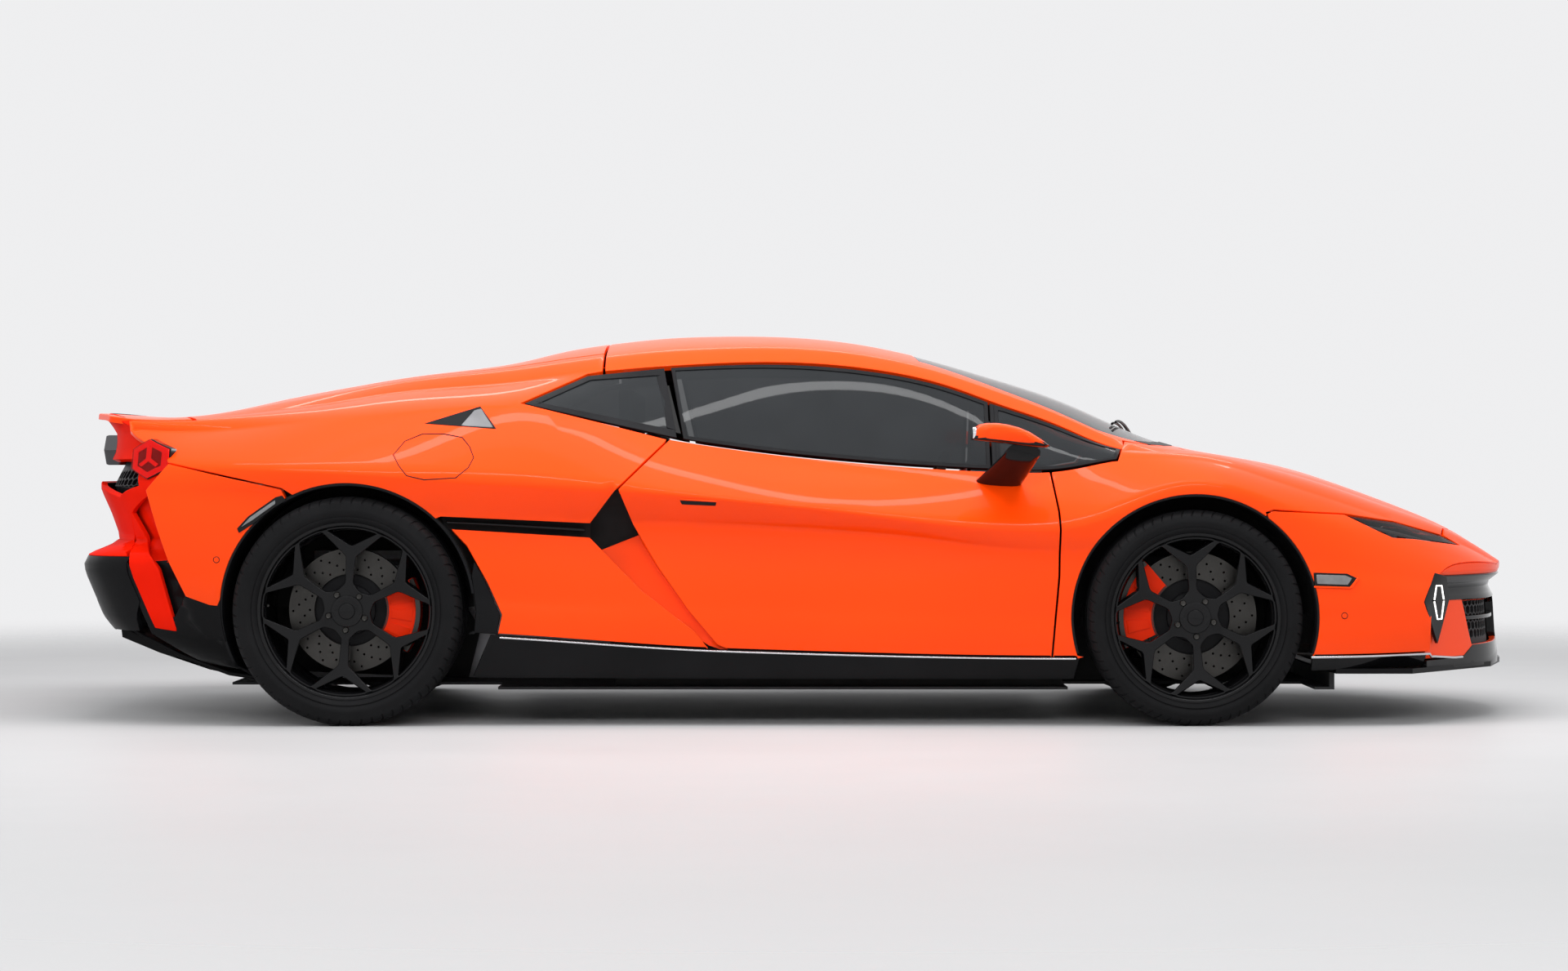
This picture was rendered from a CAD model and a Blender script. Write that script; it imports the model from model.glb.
"""Looks of a low two-seat mid-engined supercar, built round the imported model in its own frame."""
import math

import bmesh
import bpy
import numpy as np
from mathutils import Matrix, Vector, geometry


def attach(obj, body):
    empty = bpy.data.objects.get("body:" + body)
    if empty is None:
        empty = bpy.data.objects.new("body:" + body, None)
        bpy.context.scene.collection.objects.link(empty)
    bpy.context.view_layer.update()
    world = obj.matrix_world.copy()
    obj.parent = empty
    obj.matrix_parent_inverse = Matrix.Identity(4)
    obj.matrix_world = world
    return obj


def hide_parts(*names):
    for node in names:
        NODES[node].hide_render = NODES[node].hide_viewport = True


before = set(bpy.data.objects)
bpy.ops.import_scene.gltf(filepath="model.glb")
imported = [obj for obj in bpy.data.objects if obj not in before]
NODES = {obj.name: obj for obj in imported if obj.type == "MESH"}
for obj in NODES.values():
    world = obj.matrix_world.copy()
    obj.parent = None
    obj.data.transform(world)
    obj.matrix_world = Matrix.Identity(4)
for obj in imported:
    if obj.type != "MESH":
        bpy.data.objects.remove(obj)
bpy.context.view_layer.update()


def placed(name, data):
    """Object in the scene from its mesh, lamp or camera."""
    made = bpy.data.objects.new(name, data)
    bpy.context.scene.collection.objects.link(made)
    return made


HALF_LENGTH, HALF_WIDTH, HEIGHT = 2.353, 0.998, 1.254

# Feature lines from the sill's foot to the crown, as (x, y, z) shares of half length, half width and height
FLOOR_SHARES = [
    (-1, 0.55, 0.26), (-0.8, 0.62, 0.13), (-0.6, 0.80, 0.095), (0.5, 0.86, 0.092), (0.8, 0.75, 0.115),
    (1, 0.40, 0.14)]
SILL_SHARES = [
    (-1, 0.62, 0.30), (-0.9, 0.80, 0.20), (-0.7, 0.93, 0.13), (-0.4, 0.95, 0.112), (0.35, 0.94, 0.112),
    (0.7, 0.93, 0.13), (0.86, 0.80, 0.14), (1, 0.45, 0.15)]
BLADE_SHARES = [
    (-1, 0.72, 0.40), (-0.85, 0.92, 0.27), (-0.6, 0.98, 0.25), (-0.4, 0.97, 0.228), (-0.1, 0.955, 0.19),
    (0.36, 0.955, 0.171), (0.7, 0.97, 0.175), (0.88, 0.80, 0.18), (1, 0.50, 0.19)]
BAND_SHARES = [
    (-1, 0.74, 0.47), (-0.85, 0.95, 0.40), (-0.6, 0.985, 0.36), (-0.35, 0.95, 0.31), (0, 0.945, 0.29),
    (0.36, 0.95, 0.27), (0.7, 0.975, 0.27), (0.88, 0.81, 0.27), (1, 0.52, 0.26)]
WAIST_SHARES = [
    (-1, 0.75, 0.60), (-0.85, 0.93, 0.58), (-0.6, 0.985, 0.56), (-0.42, 0.925, 0.50), (-0.25, 0.893, 0.50),
    (0.1, 0.897, 0.475), (0.33, 0.927, 0.43), (0.52, 0.98, 0.44), (0.7, 0.955, 0.40), (0.88, 0.78, 0.34),
    (1, 0.50, 0.31)]
SHOULDER_SHARES = [
    (-1, 0.74, 0.66), (-0.85, 0.90, 0.655), (-0.62, 1.0, 0.64), (-0.45, 0.99, 0.62), (-0.25, 0.962, 0.592),
    (0, 0.952, 0.546), (0.33, 0.95, 0.49), (0.52, 0.985, 0.61), (0.68, 0.93, 0.52), (0.85, 0.76, 0.43),
    (1, 0.46, 0.35)]
BELT_SHARES = [
    (-1, 0.70, 0.76), (-0.85, 0.74, 0.735), (-0.62, 0.80, 0.77), (-0.40, 0.80, 0.80), (-0.19, 0.80, 0.718),
    (0.02, 0.79, 0.664), (0.22, 0.80, 0.637), (0.33, 0.82, 0.632), (0.44, 0.83, 0.672), (0.52, 0.86, 0.668),
    (0.65, 0.84, 0.60), (0.80, 0.74, 0.51), (0.9, 0.58, 0.452), (1, 0.34, 0.365)]
RAIL_SHARES = [
    (-1, 0.68, 0.785), (-0.88, 0.70, 0.765), (-0.68, 0.65, 0.80), (-0.55, 0.60, 0.84), (-0.40, 0.585, 0.862),
    (-0.30, 0.585, 0.89), (-0.18, 0.565, 0.911), (-0.05, 0.56, 0.922), (0.01, 0.56, 0.919),
    (0.11, 0.575, 0.899), (0.20, 0.60, 0.86), (0.26, 0.63, 0.813), (0.345, 0.68, 0.759), (0.40, 0.73, 0.704),
    (0.44, 0.77, 0.682), (0.52, 0.74, 0.684), (0.65, 0.71, 0.635), (0.80, 0.62, 0.545), (0.9, 0.50, 0.478),
    (1, 0.26, 0.371)]
CANT_SHARES = [
    (-1, 0.50, 0.79), (-0.88, 0.54, 0.772), (-0.68, 0.52, 0.835), (-0.55, 0.49, 0.882), (-0.40, 0.47, 0.915),
    (-0.30, 0.47, 0.942), (-0.18, 0.46, 0.965), (-0.05, 0.46, 0.972), (0.04, 0.47, 0.962),
    (0.15, 0.50, 0.925), (0.25, 0.55, 0.865), (0.36, 0.62, 0.785), (0.44, 0.68, 0.715), (0.52, 0.62, 0.69),
    (0.65, 0.58, 0.648), (0.80, 0.48, 0.562), (0.9, 0.38, 0.487), (1, 0.18, 0.373)]
CROWN_SHARES = [
    (-1, 0, 0.792), (-0.88, 0, 0.778), (-0.70, 0, 0.842), (-0.55, 0, 0.888), (-0.40, 0, 0.925),
    (-0.35, 0, 0.957), (-0.257, 0, 0.982), (-0.184, 0, 0.996), (-0.097, 0, 1.0), (-0.03, 0, 0.998),
    (0.058, 0, 0.984), (0.157, 0, 0.948), (0.249, 0, 0.899), (0.365, 0, 0.831), (0.428, 0, 0.777),
    (0.512, 0, 0.708), (0.533, 0, 0.699), (0.677, 0, 0.652), (0.746, 0, 0.610), (0.82, 0, 0.561),
    (0.883, 0, 0.507), (0.916, 0, 0.480), (0.953, 0, 0.439), (0.978, 0, 0.399), (1, 0, 0.374)]
LINES = [FLOOR_SHARES, SILL_SHARES, BLADE_SHARES, BAND_SHARES, WAIST_SHARES, SHOULDER_SHARES, BELT_SHARES,
         RAIL_SHARES, CANT_SHARES, CROWN_SHARES]
FLOOR, SILL, BLADE, BAND, WAIST, SHOULDER, BELT, RAIL, CANT, CROWN = range(len(LINES))


# How round the body is along each feature line, as a share of the spans beside it, and how far each span bulges
ROUNDING = [0.2, 0.15, 0.05, 0.16, 0.2, 0.16, 0.07, 0.10, 0.42, 0.5]
# The shoulder is sharper along the door
CREASE, CREASE_X, CREASE_LENGTH = 0.62, -0.15, 0.52
BULGE = [0.0, 0.002, 0.004, 0.008, 0.006, 0.006, 0.010, 0.004, 0.0]
SAMPLES = 901
PLACES = np.linspace(-1, 1, SAMPLES)


def line_slope(points, index, column):
    """Slope of a feature line at one of its points; a peak is flat."""
    chords = []
    for first in (index - 1, index):
        if 0 <= first < len(points) - 1:
            rise = points[first + 1][column] - points[first][column]
            chords.append(rise / (points[first + 1][0] - points[first][0]))
    if len(chords) == 1:
        return chords[0]
    if chords[0] * chords[1] <= 0:
        return 0.0
    return 2 * chords[0] * chords[1] / (chords[0] + chords[1])


def hermite(start, end, start_slope, end_slope, span, part):
    """Smooth value at a share of the span between two values with given slopes."""
    return (start * (2 * part ** 3 - 3 * part ** 2 + 1) + end * (3 * part ** 2 - 2 * part ** 3)
            + start_slope * span * (part ** 3 - 2 * part ** 2 + part) + end_slope * span * (part ** 3 - part ** 2))


def line_value(points, place, column):
    """Smooth value of one column of a feature line at a place along the length."""
    index = 0
    while index < len(points) - 2 and place > points[index + 1][0]:
        index += 1
    span = points[index + 1][0] - points[index][0]
    return hermite(points[index][column], points[index + 1][column], line_slope(points, index, column),
                   line_slope(points, index + 1, column), span, (place - points[index][0]) / span)


def faired(values, reach=0.028):
    """Values along the length made fair by a soft running mean that keeps both ends."""
    step = PLACES[1] - PLACES[0]
    count = int(reach * 3 / step)
    weights = np.exp(-0.5 * (np.arange(-count, count + 1) * step / reach) ** 2)
    weights /= weights.sum()
    padded = np.concatenate([2 * values[0] - values[count:0:-1], values, 2 * values[-1] - values[-2:-count - 2:-1]])
    return np.convolve(padded, weights, "valid")


TABLE_Y, TABLE_Z = (
    size * np.array([faired(np.array([line_value(line, place, column) for place in PLACES])) for line in LINES])
    for column, size in ((1, HALF_WIDTH), (2, HEIGHT)))
TABLE_Y[CROWN] = 0


def arrays(*values):
    """Numbers or lists as arrays with one axis."""
    return [np.atleast_1d(np.asarray(value, float)) for value in values]


def unit(vectors, least=1e-9):
    """Vectors in the rows of an array, brought to length one."""
    return vectors / np.maximum(np.linalg.norm(vectors, axis=1), least)[:, None]


def dot(a, b):
    """Products of the vectors in the rows of two arrays."""
    return (a * b).sum(1)


def columns(x):
    """Feature points of the sections at x: arrays of y and z, one row per line."""
    place = np.clip(np.asarray(x, float) / HALF_LENGTH, -1, 1) * (SAMPLES - 1) / 2 + (SAMPLES - 1) / 2
    low = np.minimum(place.astype(int), SAMPLES - 2)
    part = place - low
    ys = TABLE_Y[:, low] * (1 - part) + TABLE_Y[:, low + 1] * part
    zs = TABLE_Z[:, low] * (1 - part) + TABLE_Z[:, low + 1] * part
    return ys, zs


def span_point(ys, zs, t):
    """Point of the section with its spans bulged but its corners sharp."""
    index = np.clip(np.floor(t).astype(int), 0, CROWN - 1)
    part = t - index
    row = np.arange(len(t))
    ya, yb = ys[index, row], ys[index + 1, row]
    za, zb = zs[index, row], zs[index + 1, row]
    dy, dz = yb - ya, zb - za
    run = np.maximum(np.hypot(dy, dz), 1e-6)
    push = np.array(BULGE)[index] * 4 * part * (1 - part)
    y = ya + dy * part + dz / run * push
    z = za + dz * part - dy / run * push
    top = index == CROWN - 1
    rise = np.maximum(zb - za, 1e-4)
    radius = (ya ** 2 + rise ** 2) / (2 * rise)
    angle = np.arcsin(np.clip(ya / radius, -1, 1)) * (1 - part)
    y = np.where(top, radius * np.sin(angle), y)
    z = np.where(top, zb - radius * (1 - np.cos(angle)), z)
    return y, z


def bent(start, corner, end, part):
    """Value at a share of the way along a quadratic arc that rounds a corner."""
    return (1 - part) ** 2 * start + 2 * part * (1 - part) * corner + part ** 2 * end


def half_section(x, t):
    """Rounded section point (y, z) of the right half, y counted outwards."""
    x = np.asarray(x, float)
    t = np.asarray(t, float)
    ys, zs = columns(x)
    y, z = span_point(ys, zs, np.clip(t, 0, CROWN))
    near = np.clip(np.rint(t).astype(int), 0, CROWN)
    reach = np.array(ROUNDING)[near]
    reach = np.where(near == SHOULDER, reach * (1 - CREASE * np.exp(-((x - CREASE_X) / CREASE_LENGTH) ** 2)), reach)
    inside = (np.abs(t - near) < reach) & (near > 0) & (near < CROWN)
    row = np.arange(len(t))
    ya, za = span_point(ys, zs, np.clip(near - reach, 0, CROWN))
    yb, zb = span_point(ys, zs, np.clip(near + reach, 0, CROWN))
    part = (t - near + reach) / (2 * reach)
    yc, zc = ys[near, row], zs[near, row]
    return (np.where(inside, bent(ya, yc, yb, part), y), np.where(inside, bent(za, zc, zb, part), z))


def surface(x, t):
    """Points of the body; t runs from 0 at the right foot over 9 at the crown to 18 at the left foot."""
    x, t = arrays(x, t)
    fold = np.where(t <= CROWN, t, 2 * CROWN - t)
    y, z = half_section(x, fold)
    return np.stack([x, np.where(t <= CROWN, -y, y), z], 1)


class Sheet:
    """A surface as a function of two parameters, with the limits and the rows that its meshes follow."""

    def __init__(self, point, low, high, scale, rows, step, part):
        self.point = point
        self.low, self.high = low, high
        self.scale, self.rows = scale, rows
        self.step, self.part = step, part

    def derivatives(self, u, v):
        """Changes of the surface along both parameters."""
        u, v = arrays(u, v)
        low, high = np.maximum(u - self.step, self.low[0]), np.minimum(u + self.step, self.high[0])
        along = (self.point(high, v) - self.point(low, v)) / (high - low)[:, None]
        low, high = np.maximum(v - self.part, self.low[1]), np.minimum(v + self.part, self.high[1])
        across = (self.point(u, high) - self.point(u, low)) / (high - low)[:, None]
        return along, across

    def normals(self, u, v):
        """Outward directions of the surface."""
        return unit(np.cross(*self.derivatives(u, v)))


def body_rows():
    """Rows of the body's parameter that its roundings need."""
    found = []
    for index in range(2 * CROWN + 1):
        fold = index if index <= CROWN else 2 * CROWN - index
        reach = ROUNDING[fold]
        found += [index - reach, index - reach / 2, index, index + reach / 2, index + reach, index + 0.5]
        if fold == SHOULDER:
            found += [index - reach * (1 - CREASE), index + reach * (1 - CREASE)]
        if reach < 0.3:
            found += [index + 0.3, index + 0.7]
    return found


BODY = Sheet(surface, (-HALF_LENGTH, 0), (HALF_LENGTH, 2 * CROWN), 0.13, body_rows(), 0.012, 0.012)


def halved(rises, count, low, high):
    """Parameters between two limits at which a test turns true."""
    a, b = np.full(count, float(low)), np.full(count, float(high))
    for _ in range(26):
        middle = (a + b) / 2
        passed = rises(middle)
        a, b = np.where(passed, a, middle), np.where(passed, middle, b)
    return (a + b) / 2


def at_height(x, z, low=BLADE, high=CROWN - 0.02):
    """Parameter on the right side where the section at x has height z."""
    x, = arrays(x)
    return halved(lambda t: half_section(x, t)[1] > z, len(x), low, high)


def at_width(x, y, low=SHOULDER + 0.4):
    """Parameter on the upper body where the section at x has the signed width y."""
    x, y = arrays(x, y)
    t = halved(lambda t: half_section(x, t)[0] < np.abs(y), len(x), low, CROWN)
    return np.where(y <= 0, t, 2 * CROWN - t)


def apart(a, b, least_u=1e-5, least_v=1e-4):
    """Whether two points of an outline lie far enough apart to be both kept."""
    return abs(a[0] - b[0]) > least_u or abs(a[1] - b[1]) > least_v


def route(*legs, pitch=0.018):
    """Closed outline as (x, t) points, its legs joined straight.

    Each leg is ("side", points x z), ("plan", points x y) or ("line", points x t).
    """
    found = []
    for kind, points in legs:
        points = np.array(points, float)
        dense = [points[0]]
        for a, b in zip(points, points[1:]):
            run = np.hypot(b[0] - a[0], (b[1] - a[1]) * (0.15 if kind == "line" else 1))
            count = max(1, int(math.ceil(run / pitch)))
            dense += [a + (b - a) * step / count for step in range(1, count + 1)]
        x, value = np.array(dense).T
        found += zip(x, {"side": at_height, "plan": at_width, "line": lambda x, t: t}[kind](x, value))
    kept = [found[0]]
    for point in found[1:]:
        if apart(point, kept[-1]):
            kept.append(point)
    if not apart(kept[0], kept[-1]):
        kept.pop()
    return np.array(kept)


def moved_in(loop, distance, sheet):
    """Outline drawn in by a real distance along the surface; a negative one grows it."""
    if distance == 0:
        return loop
    along, across = sheet.derivatives(loop[:, 0], loop[:, 1])
    points = sheet.point(loop[:, 0], loop[:, 1])
    normal = unit(np.cross(along, across))
    inward_a = np.cross(normal, unit(points - np.roll(points, 1, 0)))
    inward_b = np.cross(normal, unit(np.roll(points, -1, 0) - points))
    total = unit(inward_a + inward_b)
    corner = np.maximum(dot(total, inward_a), 0.45)
    shift = total * (distance * turn_sign(loop) / corner)[:, None]
    e, f, g = dot(along, along), dot(along, across), dot(across, across)
    u, v = dot(shift, along), dot(shift, across)
    det = np.maximum(e * g - f * f, 1e-9)
    return loop + np.stack([(g * u - f * v) / det, (e * v - f * u) / det], 1)


def turn_sign(loop):
    """1 where an outline turns anticlockwise in x and t, otherwise -1."""
    x, t = loop[:, 0], loop[:, 1]
    area = (x * np.roll(t, -1) - np.roll(x, -1) * t).sum()
    return 1.0 if area > 0 else -1.0


def inside_loops(points, loops):
    """Which points lie inside an odd number of loops."""
    odd = np.zeros(len(points), bool)
    for loop in loops:
        x, y = loop[:, 0], loop[:, 1]
        x2, y2 = np.roll(x, -1), np.roll(y, -1)
        for a, b, c, d in zip(x, y, x2, y2):
            if b == d:
                continue
            crosses = (points[:, 1] > min(b, d)) & (points[:, 1] <= max(b, d))
            place = a + (points[:, 1] - b) * (c - a) / (d - b)
            odd ^= crosses & (points[:, 0] < place)
    return odd


def triangulate(loops, pitch, sheet):
    """Points and triangles in the sheet's parameters inside the loops; extra rows follow its roundings."""
    scale = sheet.scale
    scaled = [loop * [1, scale] for loop in loops]
    everything = np.concatenate(scaled)
    low, high = everything.min(0), everything.max(0)
    rows = sorted(set(round(row * scale, 6) for row in sheet.rows))
    xs = np.arange(low[0] + pitch / 2, high[0], pitch)
    grid = np.array([(x, row) for row in rows if low[1] < row < high[1] for x in xs])
    if len(grid):
        grid = grid[inside_loops(grid, scaled)]
    if len(grid):
        keep = np.ones(len(grid), bool)
        for loop in scaled:
            for point in loop:
                keep &= np.abs(grid - point).max(1) > pitch * 0.33
        grid = grid[keep]
    verts = [Vector(p) for p in np.concatenate([everything, grid] if len(grid) else [everything])]
    edges, start = [], 0
    for loop in scaled:
        count = len(loop)
        edges += [(start + k, start + (k + 1) % count) for k in range(count)]
        start += count
    out_verts, _, faces, origin, _, _ = geometry.delaunay_2d_cdt(verts, edges, [], 0, 1e-7)
    flat = np.array([tuple(v) for v in out_verts])
    triangles = np.array([face for face in faces if len(face) == 3])
    middle = flat[triangles].mean(1)
    triangles = triangles[inside_loops(middle, scaled)]
    a, b, c = (flat[triangles[:, k]] for k in range(3))
    turn = (b[:, 0] - a[:, 0]) * (c[:, 1] - a[:, 1]) - (b[:, 1] - a[:, 1]) * (c[:, 0] - a[:, 0])
    triangles[turn < 0] = triangles[turn < 0][:, ::-1]
    places = {}
    for out_index, sources in enumerate(origin):
        for source in sources:
            places[source] = out_index
    rings, start = [], 0
    for loop in scaled:
        rings.append([places[start + k] for k in range(len(loop))])
        start += len(loop)
    return flat / [1, scale], triangles, rings


def build_mesh(name, points, faces, face_slots, materials, point_normals=None, corner_normals=None):
    """Smooth mesh object from plain lists, with its own normals where they are known."""
    mesh = bpy.data.meshes.new(name)
    mesh.from_pydata([tuple(map(float, p)) for p in points], [], [tuple(int(k) for k in f) for f in faces])
    for entry in materials:
        mesh.materials.append(entry)
    mesh.polygons.foreach_set("material_index", np.array(face_slots, np.int32))
    mesh.polygons.foreach_set("use_smooth", np.ones(len(mesh.polygons), bool))
    mesh.validate()
    if point_normals is not None:
        mesh.normals_split_custom_set_from_vertices([tuple(map(float, n)) for n in point_normals])
    if corner_normals is not None:
        mesh.normals_split_custom_set([tuple(map(float, n)) for n in corner_normals])
    return placed(name, mesh)


def panel(name, loops, materials, gap=0.0, depth=0.014, edge=0.0022, pitch=0.035, raise_by=0.0, sheet=BODY):
    """Body panel over the surface inside its outlines: a smooth skin, rounded edges, rim walls and a back.
    The first loop is the outline and the others are holes in it."""
    ways = [1] + [-1] * (len(loops) - 1)
    drawn = [moved_in(loop, (gap / 2 + edge) * way, sheet) for loop, way in zip(loops, ways)]
    flat, triangles, rings = triangulate(drawn, pitch, sheet)
    skin_normals = sheet.normals(flat[:, 0], flat[:, 1])
    skin = sheet.point(flat[:, 0], flat[:, 1]) + skin_normals * raise_by
    points, point_normals = [skin, skin - skin_normals * depth], [skin_normals, -skin_normals]
    faces = [tuple(t) for t in triangles] + [tuple(t[::-1] + len(skin)) for t in triangles]
    slots = [0] * len(triangles) + [1] * len(triangles)
    start = 2 * len(skin)
    for loop, way, ring in zip(loops, ways, rings):
        turn = turn_sign(loop) * way
        base, normal = skin[ring], skin_normals[ring]
        outward = np.cross(unit(np.roll(base, -1, 0) - np.roll(base, 1, 0)), normal) * turn
        levels = [(0.0, 0.0, normal), (0.7 * edge, 0.3 * edge, normal + outward), (edge, edge, outward),
                  (edge, depth * 0.98, outward), (0.0, depth, outward - normal)]
        size = len(ring)
        for out, down, direction in levels:
            points.append(base + outward * out - normal * down)
            point_normals.append(unit(direction))
        for level in range(len(levels) - 1):
            for k in range(size):
                a, b = start + level * size + k, start + level * size + (k + 1) % size
                faces.append((a, b, b + size, a + size)[::-1 if turn > 0 else 1])
                slots.append(0 if level < 3 else 1)
        start += size * len(levels)
    return build_mesh(name, np.concatenate(points), faces, slots, materials, np.concatenate(point_normals))


def mirrored(item, name):
    """The same panel on the other side of the car."""
    mesh, flip = item.data, [1, -1, 1]
    places = np.zeros(len(mesh.vertices) * 3, np.float32)
    mesh.vertices.foreach_get("co", places)
    directions = np.zeros(len(mesh.loops) * 3, np.float32)
    mesh.corner_normals.foreach_get("vector", directions)
    order = [k for p in mesh.polygons for k in range(p.loop_start + p.loop_total - 1, p.loop_start - 1, -1)]
    return build_mesh(name, places.reshape(-1, 3) * flip, [tuple(p.vertices)[::-1] for p in mesh.polygons],
                      [p.material_index for p in mesh.polygons], mesh.materials,
                      corner_normals=(directions.reshape(-1, 3) * flip)[order])


def node(tree, kind, place, **values):
    """Shader node with some of its inputs or settings given."""
    made = tree.nodes.new(kind)
    made.location = place
    for key, value in values.items():
        if key in made.inputs:
            made.inputs[key].default_value = value
        else:
            setattr(made, key, value)
    return made


def material(slot, name, colour, roughness, metallic=0.0, coat=0.0, grain=0.0, grain_scale=400.0, tint=0.0,
             tint_scale=6.0, spread=0.0, alpha=1.0, **more):
    """Finish with a fine surface grain, slow colour change and changing gloss, all procedural."""
    made = bpy.data.materials.new(name)
    made.use_nodes = True
    tree = made.node_tree
    shader = tree.nodes["Principled BSDF"]
    shader.inputs["Base Color"].default_value = (*colour, 1)
    shader.inputs["Roughness"].default_value = roughness
    shader.inputs["Metallic"].default_value = metallic
    shader.inputs["Coat Weight"].default_value = coat
    shader.inputs["Coat Roughness"].default_value = 0.03
    for key, value in more.items():
        shader.inputs[key.replace("_", " ")].default_value = value
    place = node(tree, "ShaderNodeTexCoord", (-900, 0))
    if tint > 0:
        cloud = node(tree, "ShaderNodeTexNoise", (-700, 200), Scale=tint_scale, Detail=4.0)
        tree.links.new(place.outputs["Object"], cloud.inputs["Vector"])
        ramp = node(tree, "ShaderNodeValToRGB", (-450, 200))
        ramp.color_ramp.elements[0].position = 0.3
        ramp.color_ramp.elements[1].position = 0.7
        ramp.color_ramp.elements[0].color = (*[c * (1 - tint) for c in colour], 1)
        ramp.color_ramp.elements[1].color = (*[min(1, c * (1 + tint)) for c in colour], 1)
        tree.links.new(cloud.outputs["Fac"], ramp.inputs["Fac"])
        tree.links.new(ramp.outputs["Color"], shader.inputs["Base Color"])
    if spread > 0:
        patch = node(tree, "ShaderNodeTexNoise", (-700, -50), Scale=tint_scale * 3, Detail=6.0)
        tree.links.new(place.outputs["Object"], patch.inputs["Vector"])
        reach = node(tree, "ShaderNodeMapRange", (-450, -50))
        reach.inputs["To Min"].default_value = max(0.02, roughness - spread)
        reach.inputs["To Max"].default_value = min(1.0, roughness + spread)
        tree.links.new(patch.outputs["Fac"], reach.inputs["Value"])
        tree.links.new(reach.outputs["Result"], shader.inputs["Roughness"])
    if grain > 0:
        fine = node(tree, "ShaderNodeTexNoise", (-700, -300), Scale=grain_scale, Detail=3.0)
        tree.links.new(place.outputs["Object"], fine.inputs["Vector"])
        bump = node(tree, "ShaderNodeBump", (-300, -300), Strength=grain, Distance=0.001)
        tree.links.new(fine.outputs["Fac"], bump.inputs["Height"])
        tree.links.new(bump.outputs["Normal"], shader.inputs["Normal"])
    if alpha < 1:
        shader.inputs["Alpha"].default_value = alpha
    return made


PAINT = material("body_paint", "orange_paint", (0.94, 0.056, 0.001), 0.36, coat=0.35, grain=0.04, grain_scale=900,
                 tint=0.04, tint_scale=1.5, spread=0.05, Coat_IOR=1.4, Specular_IOR_Level=0.08)
PAINT_DARK = material("body_paint", "red_orange_paint", (0.80, 0.012, 0.002), 0.42, coat=0.08, grain=0.04,
                      grain_scale=900, tint=0.04, spread=0.05, Specular_IOR_Level=0.0)
BLACK = material("black_gloss", "gloss_black", (0.004, 0.004, 0.0045), 0.12, coat=0.3, grain=0.02, grain_scale=700,
                 tint=0.2, spread=0.03, Specular_IOR_Level=0.08)
LOWER = material("black_gloss", "lower_black", (0.004, 0.004, 0.0045), 0.34, coat=0.08, grain=0.1, grain_scale=700,
                 tint=0.2, spread=0.06, Specular_IOR_Level=0.08)
MIRROR = material("window_glass", "mirror_silver", (0.8, 0.81, 0.83), 0.04, metallic=1.0, tint=0.03, spread=0.01)
DISPLAY = material("black_gloss", "dark_display", (0.006, 0.007, 0.009), 0.12, coat=1.0, tint=0.3, tint_scale=18,
                   spread=0.03)
SATIN = material("black_matte", "satin_black", (0.007, 0.007, 0.008), 0.42, grain=0.25, grain_scale=900, tint=0.25,
                 spread=0.08, Specular_IOR_Level=0.15)
MATTE = material("black_matte", "moulded_black", (0.018, 0.018, 0.019), 0.7, grain=0.5, grain_scale=1300, tint=0.25,
                 spread=0.1)
CARBON = material("black_matte", "black_liner", (0.006, 0.006, 0.006), 0.85, grain=0.5, grain_scale=500, tint=0.4,
                  spread=0.1)
SILVER = material("alloy", "satin_silver", (0.62, 0.63, 0.65), 0.25, metallic=1.0, grain=0.1, grain_scale=600,
                  spread=0.08)
STEEL = material("cast_steel", "brake_steel", (0.055, 0.053, 0.05), 0.33, metallic=1.0, grain=0.3, grain_scale=300,
                 tint=0.15, spread=0.1)
ALLOY = material("alloy", "cast_alloy", (0.30, 0.30, 0.31), 0.42, metallic=1.0, grain=0.4, grain_scale=500,
                 tint=0.15, spread=0.1)
RUBBER = material("tyre_rubber", "tyre_rubber", (0.006, 0.006, 0.0065), 0.58, grain=0.35, grain_scale=700,
                  tint=0.25, spread=0.12, Specular_IOR_Level=0.12)
WHEEL = material("wheel_black", "wheel_gloss_black", (0.004, 0.004, 0.0045), 0.12, coat=0.3, grain=0.02,
                 grain_scale=800, tint=0.2, spread=0.03, Specular_IOR_Level=0.08)
CALIPER = material("body_paint", "caliper_orange", (0.90, 0.030, 0.003), 0.42, coat=0.08, grain=0.1,
                   grain_scale=300, tint=0.06, spread=0.05, Specular_IOR_Level=0.05)
CHROME = material("cast_steel", "dark_chrome", (0.13, 0.13, 0.135), 0.16, metallic=1.0, grain=0.05, tint=0.1,
                  spread=0.04)
GLASS = material("window_glass", "tinted_glass", (0.02, 0.022, 0.024), 0.03, tint=0.1, alpha=0.74, spread=0.01,
                 Specular_IOR_Level=0.25)
SCREEN = material("window_glass", "screen_glass", (0.02, 0.022, 0.024), 0.03, tint=0.1, alpha=0.70, spread=0.01,
                  Specular_IOR_Level=0.25)
SMOKE = material("lamp", "smoked_lens", (0.008, 0.008, 0.009), 0.04, alpha=0.60, tint=0.05, spread=0.01,
                 Specular_IOR_Level=0.2)
SILVER_LENS = material("lamp", "frosted_lens", (0.20, 0.205, 0.21), 0.18, coat=0.3, metallic=0.5, tint=0.12,
                       tint_scale=40, spread=0.05)
WHITE_LAMP = material("lamp", "lamp_strip", (0.35, 0.36, 0.38), 0.3, tint=0.05, tint_scale=60,
                      Emission_Color=(1, 0.98, 0.95, 1), Emission_Strength=0.12)
RED_CLEAR = material("tail_lamp", "red_clear_lens", (0.30, 0.003, 0.002), 0.06, coat=0.1, alpha=0.4, tint=0.1,
                     tint_scale=50, spread=0.02, Specular_IOR_Level=0.1)
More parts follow.
